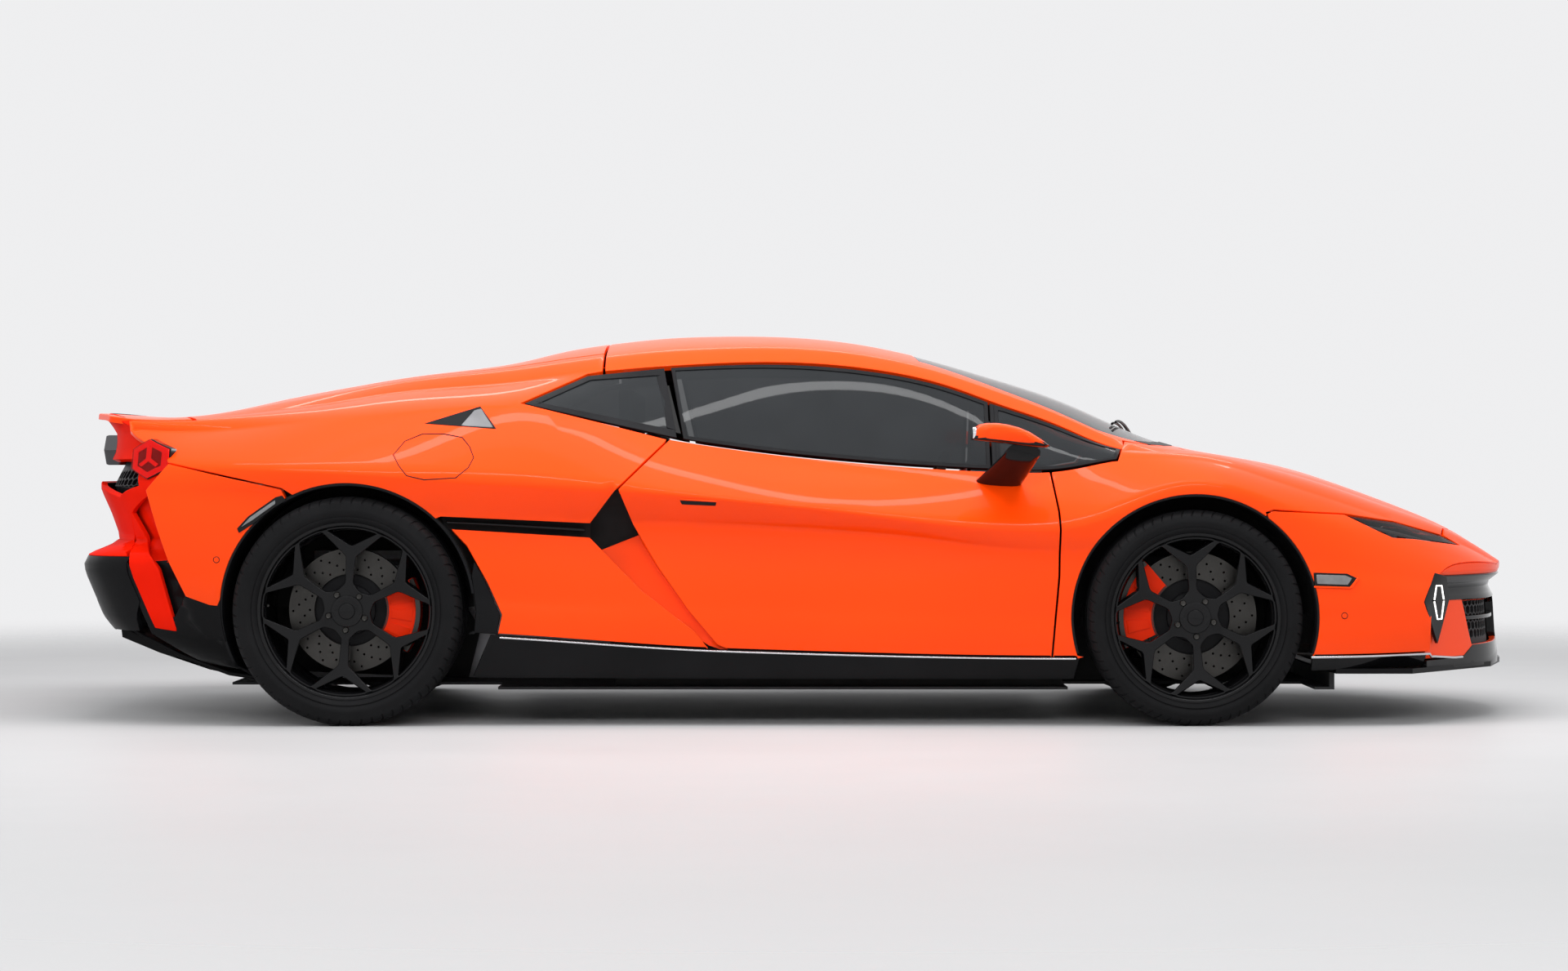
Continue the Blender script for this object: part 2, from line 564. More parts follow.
RED_LENS = material("tail_lamp", "red_lens", (0.42, 0.006, 0.004), 0.08, coat=0.2, tint=0.15, tint_scale=40,
                    spread=0.03)
RED_GLOW = material("tail_lamp", "red_light", (0.75, 0.006, 0.005), 0.3, tint=0.1, tint_scale=60,
                    Emission_Color=(1, 0.014, 0.012, 1), Emission_Strength=1.1, Specular_IOR_Level=0.1)
WHITE_GLOW = material("lamp", "white_light", (0.9, 0.92, 0.95), 0.3, tint=0.05, tint_scale=60,
                      Emission_Color=(1, 0.97, 0.92, 1), Emission_Strength=2.4)
LEATHER = material("trim", "black_leather", (0.02, 0.019, 0.018), 0.5, grain=0.6, grain_scale=420, tint=0.2,
                   tint_scale=12, spread=0.1)
SUEDE = material("trim", "grey_suede", (0.045, 0.045, 0.047), 0.92, grain=0.5, grain_scale=1500, tint=0.25,
                 tint_scale=20, spread=0.05, Sheen_Weight=0.4)
WEBBING = material("trim", "orange_webbing", (0.75, 0.10, 0.01), 0.7, grain=0.7, grain_scale=900, tint=0.1,
                   tint_scale=60, spread=0.1)


BOTH, DOORS = ("chassis", "chassis"), ("door_right", "door_left")


def on_circle(cx, cz, radius, angle):
    """Point of a circle in side view at an angle in degrees."""
    return cx + radius * math.cos(math.radians(angle)), cz + radius * math.sin(math.radians(angle))


def arc(cx, cz, radius, start, end, count=None, pitch=0.02):
    """Arc points in side view, from one angle in degrees to another."""
    count = count or max(2, int(abs(math.radians(end - start)) * radius / pitch))
    return [on_circle(cx, cz, radius, start + (end - start) * k / count) for k in range(count + 1)]


def softly_held(heights, amounts, z):
    """Amount at a height from a table, with its corners rounded."""
    return sum(np.interp(z + shift, heights, amounts) for shift in (-0.012, -0.006, 0, 0.006, 0.012)) / 5


def dress(item, body, replaced=()):
    """Piece that rides on a body, takes its finish from a slot and stands for CAD nodes."""
    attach(item, body)
    if replaced:
        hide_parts(*replaced)
    return item


def both_sides(name, loops, materials, bodies=BOTH, replaced=None, finish=None, suffix="_skin", **options):
    """Panel on the right side and its mirror on the left."""
    right = panel(f"{name}{suffix}_right", loops, materials, **options)
    left = mirrored(right, f"{name}{suffix}_left")
    for item, body, nodes in zip((right, left), bodies, replaced or ((), ())):
        dress(item, body, nodes)
    return right, left


def skin_piece(name, loops, materials, body="chassis", replaced=(), finish=None, **options):
    """One panel across the car, on its body."""
    return dress(panel(name, loops, materials, **options), body, replaced)


def densified(points, pitch=0.02):
    """Closed outline with points added along its edges."""
    found = []
    for a, b in zip(points, points[1:] + points[:1]):
        count = max(1, int(math.hypot(b[0] - a[0], b[1] - a[1]) / pitch))
        found += [(a[0] + (b[0] - a[0]) * k / count, a[1] + (b[1] - a[1]) * k / count) for k in range(count)]
    return np.array(found)


def settle(bm, name, materials, sharp=38.0, body="chassis", finish=None, replaced=()):
    """Finished smooth object from a bmesh whose faces already carry their material numbers."""
    bmesh.ops.recalc_face_normals(bm, faces=bm.faces)
    mesh = bpy.data.meshes.new(name)
    bm.to_mesh(mesh)
    bm.free()
    for item in materials:
        mesh.materials.append(item)
    mesh.polygons.foreach_set("use_smooth", np.ones(len(mesh.polygons), bool))
    mesh.set_sharp_from_angle(angle=math.radians(sharp))
    return dress(placed(name, mesh), body, replaced)


def twin(item, name, body="chassis", replaced=()):
    """Mirror of a finished piece on the car's left side."""
    mesh = item.data.copy()
    mesh.name = name
    mesh.transform(Matrix.Scale(-1, 4, (0, 1, 0)))
    mesh.flip_normals()
    return dress(placed(name, mesh), body, replaced)


def settle_both(bm, name, materials, bodies=BOTH, replaced=((), ()), **options):
    """Finished object on the right side and its mirror on the left."""
    right = settle(bm, f"{name}_right", materials, body=bodies[0], replaced=replaced[0], **options)
    return right, twin(right, f"{name}_left", bodies[1], replaced[1])


def skinned(bm, rings, slot=0, capped=True, closed=False):
    """Faces between neighbouring rings of vertices."""
    size = len(rings[0])
    faces = [bm.faces.new((low[k], low[(k + 1) % size], high[(k + 1) % size], high[k]))
             for low, high in zip(rings, rings[1:] + (rings[:1] if closed else [])) for k in range(size)]
    if capped:
        faces += [bm.faces.new(rings[0]), bm.faces.new(rings[-1])]
    for face in faces:
        face.material_index = slot
    return faces


def loft(bm, rings, slot=0):
    """Skin over closed rings of equal point count."""
    return skinned(bm, [[bm.verts.new(p) for p in ring] for ring in rings], slot)


def lathe(bm, profile, steps, centre, slot=0, start=0.0, sweep=360.0, wobble=None):
    """Closed profile of (radius, y) points turned about the Y axis through a centre, added to a bmesh."""
    full = sweep >= 359.99
    rings = []
    for step in range(steps if full else steps + 1):
        angle = math.radians(start + sweep * step / steps)
        ring = []
        for number, (radius, y) in enumerate(profile):
            turn, lift = wobble(step, number, radius, y) if wobble else (0.0, 0.0)
            place = angle + turn
            ring.append(bm.verts.new((centre[0] + (radius + lift) * math.cos(place), centre[1] + y,
                                      centre[2] + (radius + lift) * math.sin(place))))
        rings.append(ring)
    return skinned(bm, rings, slot, capped=not full, closed=full)


def prism(bm, outline, low, high, plane="xz", slot=0, bevel=0.0):
    """Outline in one plane drawn out between two levels of the third axis, with rounded edges."""
    first, second, third = {"xz": (0, 2, 1), "xy": (0, 1, 2), "yz": (1, 2, 0)}[plane]

    def point(pair, level):
        found = [0.0, 0.0, 0.0]
        found[first], found[second], found[third] = *pair, level
        return found
    rings = [[bm.verts.new(point(pair, level)) for pair in outline] for level in (low, high)]
    faces = [bm.faces.new(rings[0]), bm.faces.new(rings[1])] + skinned(bm, rings, slot, capped=False)
    for face in faces:
        face.material_index = slot
    if bevel > 0:
        edges = list(dict.fromkeys(edge for face in faces for edge in face.edges))
        bmesh.ops.recalc_face_normals(bm, faces=faces)
        bmesh.ops.bevel(bm, geom=edges, offset=bevel, segments=2, profile=0.5, affect="EDGES", clamp_overlap=True,
                        material=-1)


def solid(name, parts, materials, **options):
    """Object from several drawn-out outlines: each part is (outline, low, high, plane, slot, bevel)."""
    bm = bmesh.new()
    for part in parts:
        prism(bm, *part)
    return settle(bm, name, materials, **options)


def tube(bm, path, radius, slot=0, sides=10):
    """Round bar along a path of points."""
    points = [Vector(p) for p in path]
    rings = []
    up = Vector((0, 0, 1))
    for index, point in enumerate(points):
        ahead = points[min(index + 1, len(points) - 1)] - points[max(index - 1, 0)]
        ahead.normalize()
        side = ahead.cross(up)
        if side.length < 0.05:
            side = ahead.cross(Vector((1, 0, 0)))
        side.normalize()
        over = side.cross(ahead).normalized()
        wide = radius[index] if isinstance(radius, (list, tuple)) else radius
        rings.append([bm.verts.new(point + side * math.cos(2 * math.pi * k / sides) * wide
                                   + over * math.sin(2 * math.pi * k / sides) * wide) for k in range(sides)])
    faces = [bm.faces.new(rings[0]), bm.faces.new(rings[-1])] + skinned(bm, rings, slot, capped=False)
    for face in faces:
        face.material_index = slot


FRONT_X, FRONT_Z, ARCH_FRONT = 1.224, 0.338, 0.385
REAR_X, REAR_Z, ARCH_REAR = -1.434, 0.359, 0.398


def blade_z(x):
    """Height of the body's lower edge."""
    return float(np.interp(x / HALF_LENGTH, PLACES, TABLE_Z[BLADE]))


door_front = [(0.781, 0.792), (0.80, 0.671), (0.803, 0.613), (0.799, 0.467), (0.776, blade_z(0.776) + 0.001)]
door_rear = [(-0.249, blade_z(-0.249) + 0.001), (-0.275, 0.251), (-0.367, 0.359), (-0.464, 0.497), (-0.543, 0.628),
             (-0.588, 0.741), (-0.431, 0.899)]
door_loop = route(("side", door_front), ("line", [(0.776, BLADE), (-0.249, BLADE)]), ("side", door_rear),
                  ("line", [(-0.431, BELT), (0.781, BELT)]))
both_sides("door", [door_loop], [PAINT, SATIN], DOORS, (("door_shell_right",), ("door_shell_left",)), depth=0.07,
           gap=0.006)

# Front wing: round the door edge, the arch, the bumper seam, the bonnet and the pillar's foot
arch_low = math.degrees(math.asin((blade_z(0.86) - FRONT_Z) / ARCH_FRONT))
seam = [on_circle(FRONT_X, FRONT_Z, ARCH_FRONT, 54), (1.4475, 0.667), (1.4706, 0.6745), (1.7047, 0.6625),
        (1.882, 0.637), (1.997, 0.606), (2.058, 0.590)]
fender_loop = route(
    ("side", door_front), ("line", [(0.776, BLADE), (FRONT_X - 0.362, BLADE)]),
    ("side", arc(FRONT_X, FRONT_Z, ARCH_FRONT, 180 - arch_low, 54)), ("side", seam),
    ("plan", [(2.074, -0.560), (2.158, -0.312), (1.235, -0.606), (1.0236, -0.6986)]),
    ("line", [(0.99, BELT), (0.781, BELT)]))
both_sides("fender", [fender_loop], [PAINT, CARBON], replaced=(("fenders",), ()), gap=0.006)

# Rear quarter above the slash, and the side panel below it
quarter_loop = route(
    ("side", [(-0.431, 0.899), (-0.588, 0.741), (-0.674, 0.630), (-1.140, 0.652)]),
    ("side", arc(REAR_X, REAR_Z, ARCH_REAR, 46, 115)),
    ("side", [(-1.6375, 0.7413), (-2.009, 0.8234)]),
    ("line", [(x, at_width(x, y, SHOULDER)[0]) for x, y in ((-2.035, -0.838), (-2.065, -0.815), (-2.102, -0.785),
                                                            (-2.135, -0.755), (-2.158, -0.728))]),
    ("plan", [(-2.168, -0.706), (-1.948, -0.706), (-2.052, -0.462), (-0.650, -0.462)]),
    ("line", [(-0.650, RAIL)]),
    ("side", [(-0.700, 1.112), (-0.899, 1.015), (-0.62, 0.947)]))
both_sides("quarter", [quarter_loop], [PAINT, CARBON], replaced=(("rear_quarters",), ()), gap=0.006)
lower_loop = route(
    ("side", [(-0.300, blade_z(-0.30) + 0.001), (-0.345, 0.298), (-0.511, 0.426), (-0.675, 0.592), (-1.115, 0.619),
              (-1.061, 0.562), (-0.998, 0.449), (-0.951, 0.348), (-0.963, blade_z(-0.963) + 0.001)]),
    ("line", [(-0.963, BLADE), (-0.300, BLADE)]))
both_sides("side_panel", [lower_loop], [PAINT, CARBON], gap=0.006)


def both_ways(half):
    """Plan outline across the car from the points of its right half, which run to the left."""
    return half + [(x, -y) for x, y in half[::-1]]


# Roof with the screen's opening, bonnet, engine cover and screens
screen_half = [(0.381, -0.439), (0.66, -0.548), (0.941, -0.654), (1.06, -0.640), (1.12, -0.56), (1.165, -0.40),
               (1.188, -0.2)]
screen_loop = route(("plan", screen_half + [(1.195, 0)] + [(x, -y) for x, y in screen_half[::-1]] +
                     [(0.368, 0.2), (0.364, 0), (0.368, -0.2)]))
LEFT_RAIL = 2 * CROWN - RAIL
roof_loop = route(
    ("line", [(-0.6475, RAIL), (0.60, RAIL), (1.0236, RAIL)]), ("plan", [(1.0236, -0.692), (1.229, -0.604)]),
    ("plan", [(1.229, -0.604), (1.229, 0.604)]), ("plan", [(1.229, 0.604), (1.0236, 0.692)]),
    ("line", [(1.0236, LEFT_RAIL), (0.60, LEFT_RAIL), (-0.6475, LEFT_RAIL)]),
    ("line", [(-0.6475, LEFT_RAIL), (-0.6475, CROWN), (-0.6475, RAIL)]))
skin_piece("roof_skin", [roof_loop, screen_loop], [PAINT, SATIN], replaced=["roof_frame"], gap=0.006, depth=0.02)
skin_piece("screen_pane", [screen_loop], [SCREEN, SCREEN], replaced=["windscreen"], gap=0.003, depth=0.005,
           raise_by=-0.002)
bonnet_loop = route(("plan", [(1.235, -0.600), (2.1545, -0.303), (2.1545, 0.303), (1.235, 0.600), (1.235, -0.600)]))
skin_piece("bonnet_skin", [bonnet_loop], [PAINT, SATIN], "bonnet", ["bonnet"], gap=0.008)
vent_left = [(-0.80, 0.20), (-1.05, 0.29), (-1.72, 0.25), (-1.86, 0.12)]
vent_loop = route(("plan", [(-0.80, -0.20)] + both_ways(vent_left)))
cover_loop = route(("plan", [(-0.650, -0.460), (-0.650, 0.460), (-2.042, 0.460), (-2.042, -0.460), (-0.650, -0.460)]))
skin_piece("cover_skin", [cover_loop, vent_loop], [PAINT, SATIN], "engine_cover", ["engine_cover"], gap=0.008)
skin_piece("cover_tray", [moved_in(vent_loop, -0.012, BODY)], [SATIN, SATIN], "engine_cover", depth=0.006,
           raise_by=-0.045)
for number, x in enumerate(np.linspace(-0.93, -1.74, 7)):
    half = float(np.interp(-x, [-place for place, _ in vent_left], [wide for _, wide in vent_left])) - 0.004
    slat = route(("plan", [(x + 0.052, -half), (x + 0.052, half), (x - 0.036, half), (x - 0.036, -half),
                           (x + 0.052, -half)]))
    skin_piece(f"cover_slat_{number}", [slat], [BLACK, SATIN], "engine_cover", depth=0.008, raise_by=-0.006)

# Sills
sill_loop = route(
    ("line", [(-1.045, SILL + 0.02), (0.845, SILL + 0.02)]), ("line", [(0.865, BLADE), (-0.985, BLADE)]))
both_sides("sill", [sill_loop], [LOWER, CARBON], replaced=(("sill_blades",), ()), gap=0.004)


# Side glass with its dark frame
def pane(name, loop, bodies=BOTH, replaced=None, inner=0.016):
    """Glass pane with a dark printed border, on both sides."""
    hole = moved_in(loop, inner, BODY)
    both_sides(f"{name}_border", [loop, hole], [SATIN, SATIN], bodies, gap=0.003, depth=0.006, edge=0.0012,
               pitch=0.05)
    both_sides(f"{name}_pane", [moved_in(loop, inner * 0.5, BODY)], [GLASS, GLASS], bodies, replaced, depth=0.004,
               edge=0.001, pitch=0.05, raise_by=-0.003)


glass_front, glass_rear = 0.593, -0.433
door_pane = route(("line", [(-0.386, BELT + 0.03), (glass_front, BELT + 0.03)]),
                  ("line", [(glass_front, RAIL - 0.03), (glass_rear, RAIL - 0.03)]))
pane("door_glass", door_pane, DOORS, (("door_glass_right",), ("door_glass_left",)))
light_pane = route(("line", [(0.609, BELT + 0.03), (0.99, BELT + 0.03)]),
                   ("line", [(1.010, RAIL - 0.04), (0.609, RAIL - 0.03)]))
pane("quarterlight", light_pane, replaced=(("fixed_side_windows",), ()))
rear_pane = route(("side", [(-0.452, 1.132), (-0.700, 1.106), (-0.893, 1.013), (-0.62, 0.950), (-0.404, 0.902)]))
pane("quarter_window", rear_pane, inner=0.03)


def plan_curve(points):
    """Smooth plan curve through points (y, x), as a function of the distance from the middle."""
    widths, places = np.array(points).T
    slopes = np.gradient(places, widths)
    slopes[0] = 0

    def value(y):
        y = np.clip(np.abs(y), widths[0], widths[-1])
        k = np.clip(np.searchsorted(widths, y) - 1, 0, len(widths) - 2)
        span = widths[k + 1] - widths[k]
        return hermite(places[k], places[k + 1], slopes[k], slopes[k + 1], span, (y - widths[k]) / span)
    return value


nose_x = plan_curve([(0, 2.347), (0.10, 2.345), (0.22, 2.328), (0.50, 2.243), (0.76, 2.046), (0.845, 1.975),
                     (0.93, 1.918)])
NOSE_HEIGHTS = [0.10, 0.20, 0.26, 0.36, 0.395, 0.405, 0.445, 0.456, 0.475, 0.60, 0.9]
NOSE_RECESS = [0.012, 0.012, 0.020, 0.026, 0.028, 0.045, 0.045, 0.008, 0.003, 0.006, 0.02]
WALL_LOW, WALL_HIGH, WALL_ROWS = (-0.96, 0.05), (0.96, 1.05), list(np.arange(0.12, 1.0, 0.02))


def nose_point(y, z):
    """Nose wall: the plan curve drawn in by an amount that changes with height."""
    y, z = arrays(y, z)
    return np.stack([nose_x(y) - softly_held(NOSE_HEIGHTS, NOSE_RECESS, z), y, z], 1)


NOSE = Sheet(nose_point, WALL_LOW, WALL_HIGH, 1.0, WALL_ROWS, 0.008, 0.004)


def nose_piece(name, outline, materials, **options):
    """Piece on the nose wall."""
    return skin_piece(name, [densified(outline, options.pop("spacing", 0.02))], materials, sheet=NOSE, **options)


def honeycomb(name, outline, sheet, pitch, bar, materials, raise_by, replaced=()):
    """Grille of six-sided cells inside an outline on a wall."""
    ring = np.array(outline)
    low, high = ring.min(0), ring.max(0)
    loops = [densified(outline, 0.03)]
    radius = (pitch - bar) / math.sqrt(3)
    row = 0
    z = low[1] + pitch / 2
    while z < high[1]:
        y = low[0] + (pitch / 2 if row % 2 else 0)
        while y < high[0]:
            angles = [math.radians(60 * k) for k in range(6)]
            cell = np.array([(y + radius * math.sin(a), z + radius * math.cos(a)) for a in angles])
            if inside_loops((cell - [y, z]) * 1.25 + [y, z], [ring]).all():
                loops.append(cell)
            y += pitch
        z += pitch * math.sqrt(3) / 2
        row += 1
    return skin_piece(name, loops, materials, replaced=replaced, sheet=sheet, depth=0.012, edge=0.0008, pitch=0.5,
                      raise_by=raise_by)


# Front bumper in one piece: round the right arch, along the nose wall's edge and round the left arch
corner = 0.838
corner_x = float(nose_x(corner))
edge_widths = np.linspace(-corner, corner, 91)
edge_line = np.stack([nose_x(edge_widths), at_width(nose_x(edge_widths), edge_widths, BLADE)], 1)
edge_line = edge_line[np.concatenate([[True], np.abs(np.diff(edge_line[:, 1])) > 1e-4])]
arch_foot = math.degrees(math.asin((blade_z(1.58) - FRONT_Z) / ARCH_FRONT))
lamp_top = [(1.712, 0.6595), (1.882, 0.637), (1.997, 0.606), (2.058, 0.590)]
lamp_low = [(2.12, 0.5600), (1.940, 0.5835), (1.866, 0.589), (1.815, 0.611), (1.712, 0.6595)]
half_outline = np.concatenate([
    route(("plan", [(2.158, -0.312), (2.074, -0.560)]), ("side", [(2.062, 0.5895), (2.12, 0.5600)]),
          ("side", lamp_low), ("side", [(1.7047, 0.6625), (1.4706, 0.6745), (1.4475, 0.667)]),
          ("side", arc(FRONT_X, FRONT_Z, ARCH_FRONT, 54, arch_foot))),
    route(("line", [(FRONT_X + 0.356, BLADE), (corner_x, BLADE)]))])
left_half = (half_outline * [1, -1] + [0, 2 * CROWN])[::-1]
bumper_loop = np.concatenate([half_outline, edge_line[1:-1], left_half])
kept = [bumper_loop[0]]
for point in bumper_loop[1:]:
    if apart(point, kept[-1], 2e-4, 2e-3):
        kept.append(point)
skin_piece("bumper_skin", [np.array(kept)], [PAINT, CARBON], replaced=["front_bumper"], gap=0.005, pitch=0.04)

# Nose wall with its two intakes, the dark band across it and the honeycomb behind
wall_tops = [(float(y), max(0.20, float(surface(nose_x(y), at_width(nose_x(y), y, BLADE)[0])[0, 2]) - 0.002))
             for y in np.linspace(-corner, corner, 61)]
nose_loop = densified([(-corner, 0.204), (corner, 0.204)] + wall_tops[::-1], 0.03)
intake = [(0.17, 0.246), (0.600, 0.238), (0.637, 0.386), (0.17, 0.386)]
intakes = [densified([(side * y, z) for y, z in intake]) for side in (1, -1)]
skin_piece("nose_skin", [nose_loop] + intakes, [PAINT, CARBON], sheet=NOSE, depth=0.02, pitch=0.03)
nose_piece("nose_band", [(-0.735, 0.384), (0.735, 0.384), (0.760, 0.4640), (-0.760, 0.4640)], [BLACK, BLACK],
           depth=0.012, raise_by=0.0035)
for side, tag in ((-1, "right"), (1, "left")):
    outline = [(side * y, z) for y, z in [(0.160, 0.238), (0.608, 0.230), (0.650, 0.400), (0.160, 0.400)]]
    honeycomb(f"nose_mesh_{tag}", outline, NOSE, 0.030, 0.006, [MATTE, MATTE], raise_by=-0.028)
    nose_piece(f"nose_back_{tag}", outline, [CARBON, CARBON], depth=0.006, raise_by=-0.060)
    vane = [(side * y, z) for y, z in [(0.175, 0.318), (0.612, 0.318), (0.615, 0.330), (0.175, 0.330)]]
    nose_piece(f"nose_vane_{tag}", vane, [BLACK, BLACK], depth=0.020, raise_by=-0.006)


def plan_width(curve, x, widest, foot, flare):
    """Half width at which a wall's plan curve has a place along the car; beyond its foot it flares out."""
    widths = np.linspace(0, widest, 200)
    x = np.asarray(x, float)
    side = -1 if foot > 0 else 1
    return np.interp(side * x, side * curve(widths), widths) + np.maximum(side * (x - foot), 0) * flare


def joined(x, z, flank, wall, depth, reach):
    """Points of a right-hand corner seen from the side: body flank and end wall joined softly."""
    low = np.minimum(flank, wall)
    return np.stack([x, -(low - depth * np.exp(-np.abs(flank - wall) / reach)), z], 1)


def corner_point(x, z):
    """Right front corner of the car as seen from the side."""
    x, z = arrays(x, z)
    flank = half_section(x, at_height(x, z, BLADE - 0.8))[0]
    return joined(x, z, flank, plan_width(nose_x, x, 0.93, 1.918, 1.3) - 0.002, 0.004, 0.008)


CORNER = Sheet(corner_point, (1.4, 0.16), (2.2, 0.60), 1.0, list(np.arange(0.18, 0.6, 0.02)), 0.004, 0.004)


def corner_piece(name, outline, materials, hole=None, sheet=CORNER, **options):
    """Piece on a right-hand corner of the car and its mirror."""
    options = {"pitch": 0.02} | options
    return both_sides(name, [densified(loop, 0.012) for loop in (outline, hole) if loop], materials, sheet=sheet,
                      suffix="", **options)


diamond = [(2.0015, 0.474), (1.956, 0.384), (2.0093, 0.2486), (2.0580, 0.3896), (2.046, 0.462)]
corner_piece("lamp_diamond", diamond, [BLACK, BLACK], depth=0.010, raise_by=0.0035, edge=0.002)
ring_out = [(2.002, 0.4352), (2.024, 0.4352), (2.034, 0.386), (2.024, 0.3257), (2.006, 0.3257), (1.992, 0.386)]
ring_in = [(2.0035, 0.4315), (2.0225, 0.4315), (2.0310, 0.386), (2.0225, 0.3295), (2.0075, 0.3295), (1.9950, 0.386)]
corner_piece("day_light", ring_out, [WHITE_GLOW, SATIN], ring_in[::-1], depth=0.004, raise_by=0.0065, edge=0.0008)
corner_piece("day_light_bar", [(1.990, 0.3845), (2.036, 0.3845), (2.036, 0.3895), (1.990, 0.3895)], [BLACK, BLACK],
             depth=0.004, raise_by=0.0078, edge=0.0006)
marker = [(1.592, 0.480), (1.700, 0.476), (1.732, 0.462), (1.706, 0.434), (1.595, 0.438)]
corner_piece("marker_frame", marker, [BLACK, BLACK], depth=0.008, raise_by=0.0025, edge=0.0015)
lens = [(1.600, 0.4735), (1.694, 0.4700), (1.716, 0.4605), (1.700, 0.4400), (1.602, 0.4440)]
corner_piece("marker_lens", lens, [SILVER_LENS, BLACK], depth=0.006, raise_by=0.0055, edge=0.0025)
crease = [(1.592, 0.4325), (1.712, 0.4285), (1.742, 0.4610), (1.735, 0.4665), (1.708, 0.4345), (1.592, 0.4385)]
corner_piece("marker_lip", crease, [PAINT, PAINT], depth=0.006, raise_by=0.0050, edge=0.0020)

# Headlamps: dark housing, light bars and a smoked lens
lamp_loop = route(("side", lamp_top), ("side", [(2.062, 0.5885), (2.12, 0.5600)]), ("side", lamp_low))
both_sides("lamp_housing", [lamp_loop], [SATIN, SATIN], replaced=(("headlamps",), ()), depth=0.02, raise_by=-0.028,
           pitch=0.02)
bar_one = route(("side", [(1.770, 0.6400), (1.885, 0.6170), (2.050, 0.5750), (2.050, 0.5710), (1.885, 0.6120),
                          (1.774, 0.6350)]))
both_sides("lamp_bar", [bar_one], [WHITE_LAMP, SATIN], depth=0.008, raise_by=-0.014, pitch=0.02, edge=0.001)
for number, x in enumerate((1.86, 1.93, 2.00)):
    z = 0.6075 - (x - 1.86) * 0.20
    bead = route(("side", [(x, z + 0.007), (x + 0.036, z - 0.001), (x + 0.033, z - 0.013), (x - 0.003, z - 0.006)]))
    both_sides(f"lamp_cell_{number}", [bead], [SILVER, SATIN], depth=0.012, raise_by=-0.017, pitch=0.02, edge=0.001,
               finish="lamp")
both_sides("lamp_lens", [moved_in(lamp_loop, 0.003, BODY)], [SMOKE, SMOKE], depth=0.003, raise_by=-0.0015, pitch=0.03,
           edge=0.001)

# Lip below the bumper: a bright line, then the dark lower edge
lip_x = np.linspace(FRONT_X + 0.362, corner_x - 0.004, 24)
lip_path = [tuple(surface(x, BLADE - 0.05)[0] + np.array([0, -0.0015, -0.001])) for x in lip_x]
for y in np.linspace(-corner + 0.01, -0.66, 12):
    rise = min(1.0, max(0.0, (abs(y) - 0.70) / 0.12))
    lip_path.append((float(nose_x(y)) - 0.012 + 0.010 * rise, float(y), 0.200 + 0.010 * rise))
bm = bmesh.new()
for side in (1, -1):
    tube(bm, [(x, y * side, z) for x, y, z in lip_path], 0.0042, sides=8)
settle(bm, "front_bright_line", [SILVER], sharp=60)
lip_loop = route(("line", [(FRONT_X + 0.366, SILL + 0.12), (corner_x - 0.02, SILL + 0.12)]),
                 ("line", [(corner_x - 0.01, BLADE - 0.12), (FRONT_X + 0.366, BLADE - 0.12)]))
both_sides("lip", [lip_loop], [BLACK, CARBON], raise_by=-0.004)
chin = [(-corner, 0.168), (corner, 0.168), (corner, 0.198), (0.66, 0.200), (0.598, 0.2365), (0.172, 0.2445),
        (-0.172, 0.2445), (-0.598, 0.2365), (-0.66, 0.200), (-corner, 0.198)]
nose_piece("nose_chin", chin, [BLACK, CARBON], depth=0.02, raise_by=0.0025, spacing=0.03)
centre = [(-0.172, 0.230), (0.172, 0.230), (0.172, 0.388), (-0.172, 0.388)]
nose_piece("nose_centre", centre, [BLACK, CARBON], depth=0.026, raise_by=0.0025, spacing=0.03)


# Tail: a wall across the car's rear that leans in below the lamps, with its side pieces on the body's surface
tail_x = plan_curve([(0, -2.340), (0.36, -2.338), (0.50, -2.316), (0.66, -2.255), (0.76, -2.185), (0.82, -2.115),
                     (0.862, -2.050), (0.90, -1.975)])
TAIL_HEIGHTS = [0.10, 0.19, 0.28, 0.33, 0.475, 0.512, 0.530, 0.552, 0.575, 0.66, 0.745, 0.775, 0.86, 0.92, 1.0]
TAIL_RECESS = [0.42, 0.36, 0.115, 0.072, 0.010, 0.006, 0.022, 0.056, 0.090, 0.060, 0.022, 0.030, 0.075, 0.080, 0.02]
tail_low_x = plan_curve([(0, -2.344), (0.45, -2.342), (0.62, -2.331), (0.72, -2.300), (0.80, -2.232), (0.862, -2.120),
                         (0.90, -2.020)])


def low_share(z):
    """How far the wall follows its fuller lower plan at a height."""
    share = np.clip((0.578 - z) / 0.05, 0, 1)
    return share * share * (3 - 2 * share)


def tail_point(y, z):
    """Tail wall: the upper plan over the fuller lower one, each drawn in by an amount that changes with height."""
    y, z = arrays(y, z)
    share = low_share(z)
    drawn = softly_held(TAIL_HEIGHTS, TAIL_RECESS, z)
    return np.stack([tail_x(y) * (1 - share) + tail_low_x(y) * share + drawn, -y, z], 1)


TAIL = Sheet(tail_point, WALL_LOW, WALL_HIGH, 1.0, WALL_ROWS, 0.008, 0.004)


def tail_corner_point(x, z):
    """Right rear corner of the car as seen from the side."""
    x, z = arrays(x, z)
    flank = half_section(x, at_height(x, z, 0.05))[0]
    inner = x - np.interp(z, TAIL_HEIGHTS, TAIL_RECESS)
    share = low_share(z)
    wall = plan_width(tail_x, inner, 0.90, -1.975, 1.5) * (1 - share)
    wall += plan_width(tail_low_x, inner, 0.90, -2.02, 1.5) * share
    return joined(x, z, flank, wall, 0.006, 0.012)


REAR_CORNER = Sheet(tail_corner_point, (-2.352, 0.13), (-1.5, 0.97), 1.0, list(np.arange(0.16, 0.96, 0.02)), 0.004,
                    0.004)


